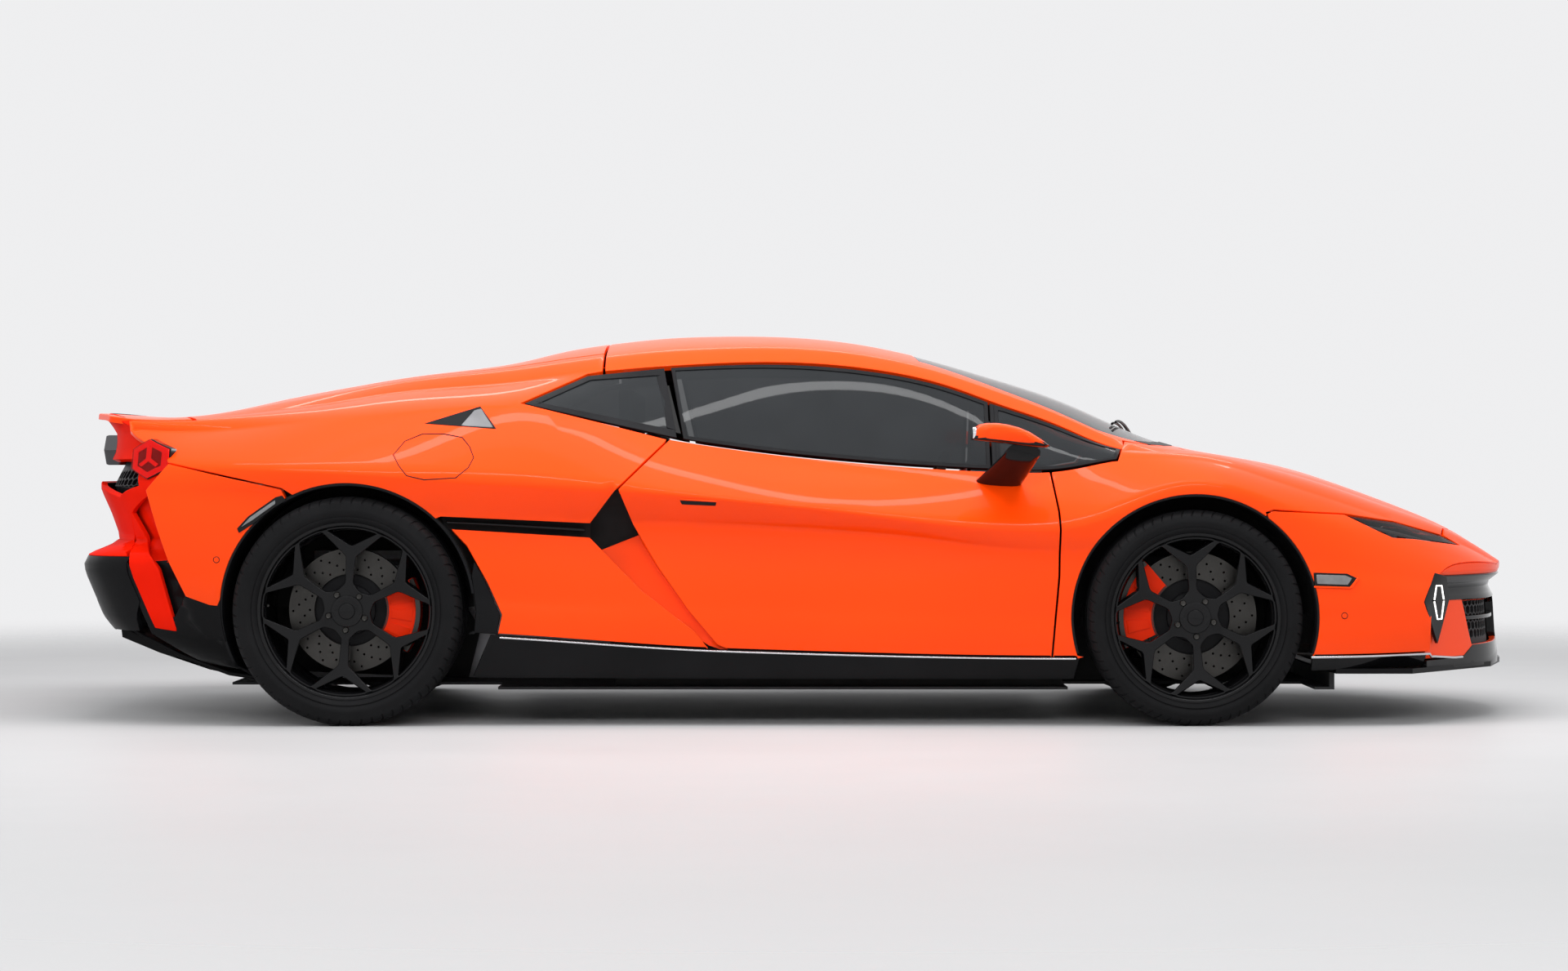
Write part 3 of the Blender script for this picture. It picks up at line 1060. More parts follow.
def rear_piece(name, outline, materials, **options):
    """Piece on the right rear corner and its mirror."""
    corner_piece(name, outline, materials, sheet=REAR_CORNER, pitch=0.025, **options)


arch_rear = arc(REAR_X, REAR_Z, ARCH_REAR, 115, 178)[1:]
corner_outline = [(-1.6375, 0.7413), (-2.006, 0.8230), (-2.078, 0.738), (-2.040, 0.625), (-2.000, 0.515),
                  (-1.944, 0.402), (-1.868, 0.375), (-1.840, 0.372)] + arch_rear[::-1][1:]
corner_loop = route(("side", corner_outline + corner_outline[:1]))
both_sides("rear_corner", [corner_loop], [PAINT, CARBON], replaced=(("rear_bumper",), ()), gap=0.005, depth=0.03)
duct_top = [(-2.190, 0.660), (-2.13, 0.765), (-2.000, 0.765), (-1.930, 0.500), (-2.045, 0.480), (-2.150, 0.540)]
rear_piece("tail_duct_top", duct_top, [PAINT_DARK, PAINT_DARK], depth=0.006, raise_by=-0.028)
duct_foot = [(-2.078, 0.520), (-1.970, 0.528), (-1.895, 0.392), (-1.930, 0.275), (-2.010, 0.262), (-2.075, 0.320),
             (-2.092, 0.420)]
rear_piece("tail_duct_foot", duct_foot, [LOWER, CARBON], finish="black_matte", depth=0.006, raise_by=-0.026)
blade = [(-2.155, 0.672), (-2.054, 0.515), (-2.036, 0.489), (-1.981, 0.290), (-2.056, 0.300), (-2.124, 0.458),
         (-2.137, 0.497), (-2.143, 0.575)]
rear_piece("tail_blade", blade, [PAINT_DARK, CARBON], depth=0.016, edge=0.004)
lower = arc(REAR_X, REAR_Z, ARCH_REAR, 212, 174) + [
    (-1.862, 0.392), (-1.944, 0.412), (-1.990, 0.335), (-2.062, 0.370), (-2.118, 0.470), (-2.150, 0.515),
    (-2.135, 0.440), (-2.100, 0.350), (-2.070, 0.280), (-1.93, 0.184)]
rear_piece("tail_flank", lower, [LOWER, CARBON], depth=0.014, raise_by=-0.003, replaced=(("rear_valance",), ()))
side_marker = [(-1.634, 0.722), (-1.655, 0.716), (-1.742, 0.655), (-1.776, 0.618), (-1.770, 0.604), (-1.726, 0.632),
               (-1.655, 0.686), (-1.622, 0.706)]
rear_piece("rear_marker_frame", side_marker, [BLACK, BLACK], depth=0.010, raise_by=0.004, edge=0.0015)
marker_lens = [(-1.655, 0.7080), (-1.735, 0.6525), (-1.763, 0.6220), (-1.726, 0.6440), (-1.655, 0.6950)]
rear_piece("rear_marker_lens", marker_lens, [SILVER_LENS, BLACK], depth=0.006, raise_by=0.0065, edge=0.0015)


def wall_piece(name, outline, materials, holes=(), sheet=TAIL, **options):
    """Piece on the tail wall or on the face of the tail lamps."""
    loops = [densified(outline)] + [densified(hole, 0.012) for hole in holes]
    return skin_piece(name, loops, materials, sheet=sheet, pitch=0.03, **options)


def six_sides(y, z, wide, tall, pointed=False):
    """Six-sided outline with its points to the sides or up and down."""
    if pointed:
        return [(y, z + tall), (y + wide, z + tall / 2), (y + wide, z - tall / 2), (y, z - tall),
                (y - wide, z - tall / 2), (y - wide, z + tall / 2)]
    return [(y - wide, z), (y - wide / 2, z + tall), (y + wide / 2, z + tall), (y + wide, z),
            (y + wide / 2, z - tall), (y - wide / 2, z - tall)]


def skin_z(y):
    """Height at which the tail wall meets the upper body at a width."""
    x = float(tail_x(y)) + 0.02
    return float(surface(x, at_width(x, y, SHOULDER))[0, 2])


def box(y0, y1, z0, z1):
    """Four-cornered outline seen from the car's end."""
    return [(y0, z0), (y1, z0), (y1, z1), (y0, z1)]


upper_top = [(float(y), skin_z(y) - 0.012) for y in np.linspace(0.838, -0.838, 41)]
opening = [(-0.800, 0.752), (-0.700, 0.715), (-0.450, 0.765), (0.450, 0.765), (0.700, 0.715), (0.800, 0.752),
           (0.784, 0.800), (0.755, 0.836), (-0.755, 0.836), (-0.784, 0.800)]
upper = [(-0.872, 0.765), (-0.840, 0.732), (-0.730, 0.66), (-0.70, 0.575), (0.70, 0.575), (0.730, 0.66),
         (0.840, 0.732), (0.872, 0.765), (0.868, 0.822)] + upper_top + [(-0.868, 0.822)]
wall_piece("tail_upper", upper, [PAINT_DARK, CARBON], [opening[::-1]], depth=0.02, edge=0.003)
lip = [(-0.705, 0.575), (0.705, 0.575), (0.798, 0.552), (0.842, 0.528), (-0.842, 0.528), (-0.798, 0.552)]
wall_piece("tail_lip", lip, [PAINT_DARK, CARBON], depth=0.02, raise_by=0.002)
low_outline = [(-0.812, 0.290), (-0.847, 0.385), (-0.846, 0.528), (0.846, 0.528), (0.847, 0.385), (0.812, 0.290),
               (0.66, 0.290), (0.60, 0.385), (-0.60, 0.385), (-0.66, 0.290)]
wall_piece("tail_lower", low_outline, [LOWER, CARBON], depth=0.02)
wall_piece("plate_recess", box(-0.27, 0.27, 0.405, 0.515), [MATTE, MATTE], depth=0.006, raise_by=0.003)
wall_piece("blank_plate", box(-0.258, 0.258, 0.407, 0.508), [SILVER, BLACK], depth=0.003, raise_by=0.006, edge=0.0012)
honeycomb("tail_mesh", box(-0.80, 0.80, 0.70, 0.85), TAIL, 0.034, 0.006, [SATIN, SATIN], -0.045, ["rear_grille"])
wall_piece("tail_mesh_back", box(-0.80, 0.80, 0.69, 0.86), [CARBON, CARBON], depth=0.006, raise_by=-0.085)


def lamp_point(y, z):
    """Face that the tail lamps lie on, across the rear corners."""
    y, z = arrays(y, z)
    return np.stack([tail_x(y) + 0.030 + (z - 0.836) * 0.10, -y, z], 1)


LAMP_FACE = Sheet(lamp_point, (-0.93, 0.6), (0.93, 1.0), 1.0, [0.8, 0.84, 0.88], 0.008, 0.004)
for side, tag in ((1, "right"), (-1, "left")):
    middle, high = side * 0.826, 0.836
    wall_piece(f"lamp_pod_{tag}", six_sides(middle, high, 0.046, 0.065, True), [BLACK, BLACK], sheet=LAMP_FACE,
               depth=0.03, raise_by=0.002, edge=0.003)
    ring, hollow = six_sides(middle, high, 0.043, 0.061, True), six_sides(middle, high, 0.030, 0.042, True)
    wall_piece(f"lamp_ring_{tag}", ring, [RED_GLOW, BLACK], [hollow[::-1]], LAMP_FACE, depth=0.008, raise_by=0.006,
               edge=0.002, replaced=["tail_lamps"] if side > 0 else ())
    for number, ((along, up), reach) in enumerate((((0.0, 1.0), 0.040), ((-0.62, -0.60), 0.034),
                                                   ((0.62, -0.60), 0.034))):
        y, z = -up * 0.0055, along * 0.0055
        bar = [(middle + y, high + z), (middle - y, high - z), (middle + along * reach - y, high + up * reach - z),
               (middle + along * reach + y, high + up * reach + z)]
        wall_piece(f"lamp_arm_{tag}_{number}", bar, [RED_GLOW, BLACK], sheet=LAMP_FACE, depth=0.006, raise_by=0.0065,
                   edge=0.001)
    wall_piece(f"lamp_cover_{tag}", six_sides(middle, high, 0.0445, 0.063, True), [RED_CLEAR, RED_CLEAR],
               sheet=LAMP_FACE, depth=0.002, raise_by=0.010, edge=0.001)

# Tail spoiler: a thin wing over the tail wall with its own edge
wing_half = [(-2.322, -0.300), (-2.302, -0.500), (-2.235, -0.660), (-2.160, -0.700), (-1.955, -0.700),
             (-2.052, -0.466)]
wing = route(("plan", [wing_half[-1]] + [(x, -y) for x, y in wing_half[::-1]] + wing_half))
skin_piece("tail_wing", [wing], [PAINT, PAINT_DARK], replaced=["spoiler"], gap=0.006, depth=0.020, edge=0.005)
strip_z = skin_z(0.1)
wall_piece("brake_strip", box(-0.34, 0.34, strip_z - 0.040, strip_z - 0.028), [RED_LENS, BLACK], depth=0.006,
           raise_by=0.004, edge=0.002)

# Exhaust outlets: six-sided polished tubes high in the middle of the tail
bm = bmesh.new()
for y in (-0.130, 0.130):
    for slot, levels in ((0, ((-2.10, 0.088, 0.050), (-2.330, 0.088, 0.050), (-2.338, 0.085, 0.047),
                              (-2.338, 0.077, 0.041), (-2.325, 0.075, 0.039), (-2.12, 0.070, 0.036))),
                         (1, ((-2.15, 0.068, 0.035), (-2.145, 0.068, 0.035)))):
        loft(bm, [[(x, *p) for p in six_sides(y, 0.868, wide, tall)] for x, wide, tall in levels], slot)
settle(bm, "exhaust_outlets", [CHROME, CARBON], sharp=25, replaced=["exhaust"])

# Diffuser: rising floor with rounded edges and upright fins
floor_side = [(-1.70, 0.118), (-1.85, 0.140), (-2.00, 0.196), (-2.13, 0.262), (-2.20, 0.312), (-2.20, 0.326),
              (-2.13, 0.276), (-2.00, 0.210), (-1.85, 0.154), (-1.70, 0.132)]
fin = [(-1.74, 0.118), (-1.92, 0.158), (-2.08, 0.212), (-2.20, 0.262), (-2.205, 0.300), (-2.13, 0.264),
       (-2.00, 0.198), (-1.86, 0.143)]
solid("diffuser_form", [(floor_side, -0.66, 0.66, "xz", 0, 0.003)] + [
    (fin, y - 0.006, y + 0.006, "xz", 0, 0.002) for y in (-0.62, -0.42, -0.22, 0.0, 0.22, 0.42, 0.62)] + [
    (box(-0.72, 0.72, 0.300, 0.540), -2.150, -2.140, "yz", 0, 0.002)], [LOWER], replaced=["diffuser"])
back_strake = [(-0.665, 0.290), (-0.605, 0.385), (0.605, 0.385), (0.665, 0.290), (0.625, 0.286), (0.575, 0.360),
               (-0.575, 0.360), (-0.625, 0.286)]
wall_piece("diffuser_arch", back_strake, [LOWER, CARBON], depth=0.05, raise_by=0.001, edge=0.003)
for number, y in enumerate((-0.46, 0.46)):
    wall_piece(f"diffuser_vent_{number}", six_sides(y, 0.455, 0.12, 0.026), [CARBON, CARBON], depth=0.006,
               raise_by=0.003, edge=0.002)


# Small pieces on the car's sides
def flank(name, outline, materials, hole=None, **options):
    """Piece on the body's surface given by its side-view outline, and its mirror."""
    loops = [route(("side", loop + loop[:1]), pitch=0.012) for loop in (outline, hole) if loop]
    return both_sides(name, loops, materials, **{"pitch": 0.03} | options)


def flank_y(x, z, low=BLADE):
    """Signed width of the right flank at a place and height."""
    return -float(half_section([x], at_height(x, z, low))[0][0])


def between(points, place):
    """Point at a place along a list of points, counted in points."""
    k = min(int(place), len(points) - 2)
    return [a * (1 - place + k) + b * (place - k) for a, b in zip(points[k], points[k + 1])]


# Side intake: a hollow that deepens from the sill towards its dark mouth
panel_edge = [(-0.692, 0.592), (-0.605, 0.500), (-0.522, 0.414), (-0.455, 0.350), (-0.365, 0.290), (-0.300, 0.250)]
door_edge = [(-0.520, 0.650), (-0.478, 0.560), (-0.430, 0.478), (-0.345, 0.350), (-0.262, 0.254), (-0.225, 0.225)]
rings = []
for share in np.linspace(0.10, 1.0, 26):
    low, high = between(panel_edge, share * 5), between(door_edge, share * 5)
    near, far = [], []
    for across in np.linspace(0, 1, 11):
        x, z = low[0] + (high[0] - low[0]) * across, low[1] + (high[1] - low[1]) * across
        deep = 0.020 + 0.055 * (1 - share) ** 1.6 * (0.55 + 0.45 * math.sin(math.pi * (0.25 + across * 0.6)))
        y = flank_y(x, z, 0.3) + deep
        near.append((x, y, z))
        far.append((x, y + 0.006, z))
    rings.append(near + far[::-1])
bm = bmesh.new()
loft(bm, rings)
settle_both(bm, "intake_hollow", [PAINT], sharp=60, replaced=(["intake_ducts"], ()))
scoop_mouth = [(-0.560, 0.752), (-0.700, 0.650), (-0.700, 0.590), (-0.610, 0.490), (-0.480, 0.515), (-0.490, 0.660)]
flank("scoop_mouth", scoop_mouth, [CARBON, CARBON], depth=0.006, raise_by=-0.086)
slash = [(-0.674, 0.632), (-1.145, 0.655), (-1.118, 0.616), (-0.674, 0.590)]
flank("slash_floor", slash, [CARBON, CARBON], depth=0.006, raise_by=-0.050)
flank("slash_blade", [(-0.690, 0.617), (-1.128, 0.640), (-1.120, 0.633), (-0.690, 0.608)], [BLACK, BLACK],
      depth=0.030, raise_by=-0.010, edge=0.003)
flank("door_handle", [(-0.393, 0.7075), (-0.276, 0.7010), (-0.279, 0.6885), (-0.386, 0.6930)], [SATIN, SATIN],
      bodies=DOORS, depth=0.006, raise_by=0.0015, edge=0.002)
flank("handle_lip", [(-0.389, 0.7120), (-0.274, 0.7055), (-0.275, 0.7005), (-0.391, 0.7070)], [PAINT, PAINT],
      bodies=DOORS, depth=0.006, raise_by=0.0035, edge=0.0018)
flap = [(-1.292, 0.849), (-1.272, 0.815), (-1.245, 0.782), (-1.190, 0.769), (-1.090, 0.775), (-1.052, 0.808),
        (-1.037, 0.840), (-1.052, 0.875), (-1.078, 0.905), (-1.140, 0.917), (-1.205, 0.917), (-1.260, 0.893)]
flap_in = [(-1.165 + (x + 1.165) * 0.974, 0.845 + (z - 0.845) * 0.956) for x, z in flap]
flank("fuel_flap_seam", flap, [CARBON, CARBON], flap_in[::-1], depth=0.004, raise_by=0.0004, edge=0.0004, pitch=0.06)
flank("shoulder_vent", [(-1.205, 0.948), (-1.030, 1.004), (-0.972, 0.930)], [SATIN, SATIN], depth=0.006,
      raise_by=0.0012, edge=0.002)
flank("shoulder_vent_blade", [(-1.088, 0.940), (-1.048, 0.990), (-1.026, 0.996), (-0.982, 0.934)], [ALLOY, ALLOY],
      depth=0.006, raise_by=0.003, edge=0.003)
for number, (x, z) in enumerate(((-1.842, 0.520), (1.690, 0.345))):
    spot = [on_circle(x, z, 0.0085, angle) for angle in range(0, 360, 30)]
    rim = [(x + (px - x) * 1.25, z + (pz - z) * 1.25) for px, pz in spot]
    flank(f"sensor_{number}", rim, [BLACK, BLACK], spot[::-1], depth=0.004, raise_by=0.0006, edge=0.0004)
    flank(f"sensor_face_{number}", spot, [PAINT, PAINT], depth=0.004, raise_by=0.0012, edge=0.001)

# Bright line along the top of the sills
bm = bmesh.new()
tube(bm, [tuple(surface(x, BLADE - 0.07)[0] + np.array([0, -0.001, 0])) for x in np.linspace(-0.955, 0.850, 40)],
     0.0032, sides=8)
settle_both(bm, "sill_bright_line", [SILVER], sharp=60)

# Dark lips inside the wheel arches, and the deflectors ahead of the rear wheels
for tag, x, z, radius, start, end, inner in (("front", FRONT_X, FRONT_Z, ARCH_FRONT, -17, 197, 0.075),
                                             ("rear", REAR_X, REAR_Z, ARCH_REAR, 8, 212, 0.26)):
    count = 72
    bm = bmesh.new()
    rings = []
    for k in range(count + 1):
        a = math.radians(start + (end - start) * k / count)
        cx, cz = math.cos(a), math.sin(a)
        px, pz = x + radius * cx, z + radius * cz
        t = at_height(px, pz if tag == "rear" else max(pz, blade_z(px) - 0.02), 0.2, RAIL)[0]
        y = -float(half_section([px], [t])[0][0]) + 0.006
        rings.append([(px + cx * out, y + deep, pz + cz * out) for out, deep in (
            (0.004, -0.001), (-0.004, 0.001), (-0.006, 0.006), (-0.006, inner), (0.004, inner))])
    loft(bm, rings)
    settle_both(bm, f"arch_lip_{tag}", [SATIN], sharp=50)
deflector = [(-0.956, 0.160), (-0.962, 0.300), (-0.953, 0.348), (-0.999, 0.449), (-1.036, 0.520), (-1.044, 0.470),
             (-1.030, 0.360), (-1.038, 0.260), (-1.052, 0.165)]
flank("arch_deflector", deflector, [LOWER, CARBON], finish="black_matte", depth=0.016, raise_by=-0.003, edge=0.004)


def rounded(angle, wide, tall, wide_power, tall_power):
    """Point of a rounded box around a centre."""
    c, s = math.cos(angle), math.sin(angle)
    return wide * math.copysign(abs(c) ** wide_power, c), tall * math.copysign(abs(s) ** tall_power, s)


# Door mirrors: painted cap, dark lower shell, mirror glass and a stalk from the door
shell = [(0.516, 0.900), (0.524, 0.930), (0.549, 0.947), (0.612, 0.947), (0.683, 0.928), (0.739, 0.893),
         (0.768, 0.871), (0.706, 0.871), (0.610, 0.884), (0.516, 0.893)]
fine = [(a[0] * (1 - part) + b[0] * part, a[1] * (1 - part) + b[1] * part)
        for a, b in zip(shell, shell[1:] + shell[:1]) for part in (0.25, 0.75)]
bm = bmesh.new()
mid_x, mid_z = 0.630, 0.908
loft(bm, [[(mid_x + (px - mid_x) * grow, y, mid_z + (pz - mid_z) * grow) for px, pz in fine] for y, grow in (
    (-0.968, 0.55), (-0.972, 0.80), (-0.985, 0.93), (-1.010, 1.0), (-1.060, 1.0), (-1.095, 0.95), (-1.112, 0.84),
    (-1.1195, 0.62))])
for face in bm.faces:
    centre = face.calc_center_median()
    low = 0.896 + (centre.x - mid_x) * -0.10
    face.material_index = 1 if centre.z < low or centre.x < 0.530 else 0
settle_both(bm, "mirror_cap", [PAINT, BLACK], DOORS, (["door_mirror_right"], ["door_mirror_left"]), sharp=60)
bm = bmesh.new()
prism(bm, [(-0.990, 0.898), (-1.010, 0.934), (-1.090, 0.934), (-1.104, 0.915), (-1.095, 0.898)], 0.519, 0.530, "yz",
      bevel=0.002)
settle_both(bm, "mirror_glass", [MIRROR], DOORS)
bm = bmesh.new()
rings = []
for part in np.linspace(0, 1, 9):
    x0, x1 = 0.515 + 0.120 * part, 0.665 + 0.070 * part
    z0, z1 = 0.722 + 0.118 * part ** 1.2, 0.752 + 0.128 * part ** 1.2
    ring = []
    for k in range(16):
        wide, tall = rounded(2 * math.pi * k / 16, (x1 - x0) / 2, (z1 - z0) / 2, 0.7, 0.8)
        ring.append(((x0 + x1) / 2 + wide, -0.775 - 0.240 * part, (z0 + z1) / 2 + tall + wide * -0.10))
    rings.append(ring)
loft(bm, rings)
settle_both(bm, "mirror_stalk", [BLACK], DOORS, sharp=60)

# Divider bar between the door glass and the fixed quarterlight
bar = route(("line", [(0.598, BELT + 0.02), (0.612, BELT + 0.02)]),
            ("line", [(0.612, RAIL - 0.03), (0.598, RAIL - 0.03)]))
both_sides("glass_divider", [bar], [SATIN, SATIN], depth=0.012, edge=0.0015, raise_by=-0.002)

# Cowl with its wiper under the screen's foot
cowl_back = [(1.062, -0.640), (1.118, -0.562), (1.165, -0.405), (1.190, -0.2)]
cowl_front = [(1.226, 0.2), (1.212, 0.405), (1.170, 0.560), (1.112, 0.655)]
cowl = route(("plan", cowl_back + [(1.197, 0)] + [(x, -y) for x, y in cowl_back[::-1]] + cowl_front[::-1]
              + [(1.228, 0)] + [(x, -y) for x, y in cowl_front] + cowl_back[:1]))
skin_piece("cowl_grille", [cowl], [SATIN, CARBON], depth=0.006, raise_by=0.0015, edge=0.002)
arm = []
for part in np.linspace(0, 1, 24):
    x, y = 1.150 + (1.02 - 1.150) * part, 0.36 + (-0.42 - 0.36) * part
    base = surface(x, at_width(x, y)[0])[0]
    arm.append((float(base[0]) + 0.004, float(base[1]), float(base[2]) + 0.016))
bm = bmesh.new()
tube(bm, arm, [0.007 - 0.003 * k / 23 for k in range(24)], sides=8)
tube(bm, [(x - 0.012, y, z - 0.006) for x, y, z in arm[9:]], 0.0045, sides=6)
settle(bm, "wiper_0", [SATIN], sharp=50)

# Dark splash panels inboard of the wheels
front_splash = [(1.00, 0.118), (1.600, 0.140), (1.610, 0.300), (1.540, 0.352), (1.04, 0.352), (0.99, 0.280)]
rear_splash = [(-1.86, 0.150), (-1.10, 0.118), (-1.06, 0.280), (-1.12, 0.372), (-1.80, 0.372), (-1.88, 0.300)]
for tag, outline in (("front", front_splash), ("rear", rear_splash)):
    solid(f"splash_panels_{tag}", [(outline, y - 0.004, y + 0.004, "xz", 0, 0.002) for y in (-0.43, 0.43)], [CARBON])


# Tyres, wheels and brakes. Each is made on the right side and mirrored to the left.
def tyre_piece(axle, x, radius, width, rim, outer):
    """Tyre with sidewall rings, four grooves round it and slanted grooves across its shoulders."""
    half = width / 2
    centre = (x, -(outer - half), radius)
    flank_in = [(rim + out, -half + deep) for out, deep in (
        (-0.004, 0.020), (0.004, 0.010), (0.010, 0.0045), (0.014, 0.0035), (0.017, 0.0065), (0.026, 0.002),
        (0.036, 0.0005), (0.040, 0.002))]
    flank_in += [(radius - down, -half + deep) for down, deep in (
        (0.020, 0.004), (0.013, 0.009), (0.0075, 0.015), (0.003, 0.024))]
    ribs = [(radius - down, place * width + shift) for place in (-0.31, -0.10, 0.10, 0.31)
            for down, shift in ((0, -0.0062), (0.0065, -0.0042), (0.0065, 0.0042), (0, 0.0062))]
    tread = [(radius - 0.0006, -half + 0.036)] + ribs + [(radius - 0.0006, half - 0.036)]
    profile = flank_in + tread + [(r, -y) for r, y in reversed(flank_in)]
    blocks, per = 64, 4
    marks = (0.0, 0.80, 0.86, 0.95)
    tread_from, tread_to = 8, len(profile) - 9

    def shift(step, number, r, y):
        """Turn and lift of a tread point that cut the slanted grooves."""
        part = marks[step % per] - (step % per) / per
        slant = 0.16 * abs(y) / half * (1 if y < 0 else -1)
        lift = 0.0
        if step % per >= 2 and tread_from <= number <= tread_to and r > radius - 0.016:
            reach = abs(y) / width
            if reach > 0.335:
                lift = -0.0042
            elif reach > 0.14 and (step // per) % 2 == 0 and r > radius - 0.001:
                lift = -0.0030
        return part * 2 * math.pi / blocks + slant, lift
    bm = bmesh.new()
    lathe(bm, profile, blocks * per, centre, wobble=shift)
    right = settle(bm, f"tyre_{axle}_right_looks", [RUBBER], body=f"wheel_{axle}_right",
                   replaced=[f"tyre_{axle}_right"], sharp=30)
    twin(right, f"tyre_{axle}_left_looks", f"wheel_{axle}_left", replaced=[f"tyre_{axle}_left"])


def softened(points, x, z, cut):
    """Closed outline in side view with its corners rounded by quadratic arcs."""
    found = []
    for k, corner in enumerate(points):
        corner = Vector(corner)
        a, b = Vector(points[k - 1]) - corner, Vector(points[(k + 1) % len(points)]) - corner
        reach = min(cut, a.length * 0.45, b.length * 0.45)
        first, last = corner + a.normalized() * reach, corner + b.normalized() * reach
        for part in (0, 1 / 3, 2 / 3, 1):
            found.append((1 - part) ** 2 * first + 2 * part * (1 - part) * corner + part ** 2 * last)
    return np.array([(x + p[0], z + p[1]) for p in found])


def wheel_piece(axle, x, radius, width, rim, outer, disc_radius, turn):
    """Gloss black wheel with six forked spokes, its hub, bolts, valve and drilled brake disc."""
    half = width / 2
    centre_y = -(outer - half)
    rim_half = half - 0.014
    wheels = (f"wheel_{axle}_right", f"wheel_{axle}_left")
    bm = bmesh.new()
    wall = rim - 0.009
    barrel = [(rim - 0.001, -rim_half + 0.006), (rim - 0.002, -rim_half + 0.001), (rim - 0.006, -rim_half),
              (wall - 0.002, -rim_half + 0.003), (wall - 0.005, -rim_half + 0.008), (wall - 0.004, -rim_half + 0.014),
              (wall - 0.013, -rim_half + 0.024), (wall - 0.016, -rim_half + 0.040), (wall - 0.022, 0.0),
              (wall - 0.018, rim_half - 0.03), (wall - 0.002, rim_half - 0.004), (rim - 0.004, rim_half),
              (rim - 0.001, rim_half - 0.006), (rim - 0.007, rim_half - 0.03), (rim - 0.012, 0.0),
              (rim - 0.007, -rim_half + 0.03)]
    lathe(bm, barrel, 144, (x, centre_y, radius))
    reach = wall - 0.010
    face = centre_y - rim_half

    def face_point(u, v):
        """Face of the spokes, dished towards the hub."""
        r = np.hypot(u - x, v - radius)
        dish = 0.010 + 0.020 * (1 - np.clip(r / reach, 0, 1) ** 3) - 0.008 * np.exp(-(r / 0.07) ** 2)
        return np.stack([u, face + dish, v], 1)

    def wheel_sheet(point, rows=()):
        """Sheet in the wheel's plane."""
        return Sheet(point, (x - 0.5, radius - 0.5), (x + 0.5, radius + 0.5), 1.0, list(rows), 0.004, 0.004)
    step, spread = 60.0, 19.5
    fork, foot, root = reach * 0.70, 0.088, 0.072
    near, wide, arm = 0.0125, 0.0155, 0.0115

    def arm_edges(index, side):
        """Directions along and across a spoke, and the angles at the rim of one arm's inner and outer edge."""
        angle = math.radians(turn + step * index)
        along = Vector((math.cos(angle), math.sin(angle)))
        tilt = angle + side * math.radians(spread)
        end = Vector((math.cos(tilt), math.sin(tilt))) * reach
        way = (end - along * fork).normalized()
        off = Vector((-way.y, way.x)) * side * arm
        inner, outside = (math.degrees(math.atan2(p.y, p.x)) for p in (end - off, end + off))
        return along, Vector((-along.y, along.x)), inner, outside
    loops = [np.array(arc(x, radius, reach + 0.004, 0, 358, 119))]
    for index in range(6):
        last = arm_edges(index, -1)[2]
        along, across, first, low = arm_edges(index, 1)
        while last > first:
            last -= 360
        rim_arc = arc(0, 0, reach - 0.001, first, last, 7)
        loops.append(softened([along * (fork + 0.022)] + rim_arc, x, radius, 0.006))
        along2, across2, _, high = arm_edges(index + 1, -1)
        while high < low:
            high += 360
        shape = [on_circle(0, 0, root, turn + step * (index + 0.5)), along * foot + across * near,
                 along * (fork - 0.012) + across * wide] + arc(0, 0, reach - 0.001, low, high, 4)
        shape += [along2 * (fork - 0.012) - across2 * wide, along2 * foot - across2 * near]
        loops.append(softened(shape, x, radius, 0.009))
    both_sides(f"spokes_{axle}", loops, [WHEEL, WHEEL], wheels, [[name] for name in wheels], suffix="", depth=0.034,
               edge=0.0048, pitch=0.022, sheet=wheel_sheet(face_point, radius + np.arange(-0.27, 0.271, 0.03)))
    hub = [(0.0005, face + 0.012), (0.022, face + 0.012), (0.0245, face + 0.0135), (0.026, face + 0.018),
           (0.030, face + 0.0185), (0.034, face + 0.0165), (0.0475, face + 0.0165), (0.050, face + 0.019),
           (0.050, face + 0.055), (0.0005, face + 0.055)]
    lathe(bm, hub, 60, (x, 0, radius))
    bolt = [(0.0004, face + 0.0185), (0.0055, face + 0.0185), (0.0075, face + 0.0165), (0.0095, face + 0.018),
            (0.0105, face + 0.021), (0.0105, face + 0.040), (0.0004, face + 0.040)]
    bolt_circle = 0.0595
    for index in range(5):
        px, pz = on_circle(x, radius, bolt_circle, turn + 36 + 72 * index)
        lathe(bm, bolt, 12, (px, 0, pz), slot=1)
    cx, cz = on_circle(0, 0, 1, turn + 90)
    valve = Vector((x + (wall - 0.02) * cx, face + 0.040, radius + (wall - 0.02) * cz))
    tube(bm, [valve, valve + Vector((-0.004 * cx, -0.018, -0.004 * cz))], [0.0045, 0.0035], slot=1, sides=8)
    settle_both(bm, f"rim_{axle}", [WHEEL, STEEL], wheels, sharp=50)

    disc_y = centre_y - (half - 0.150)

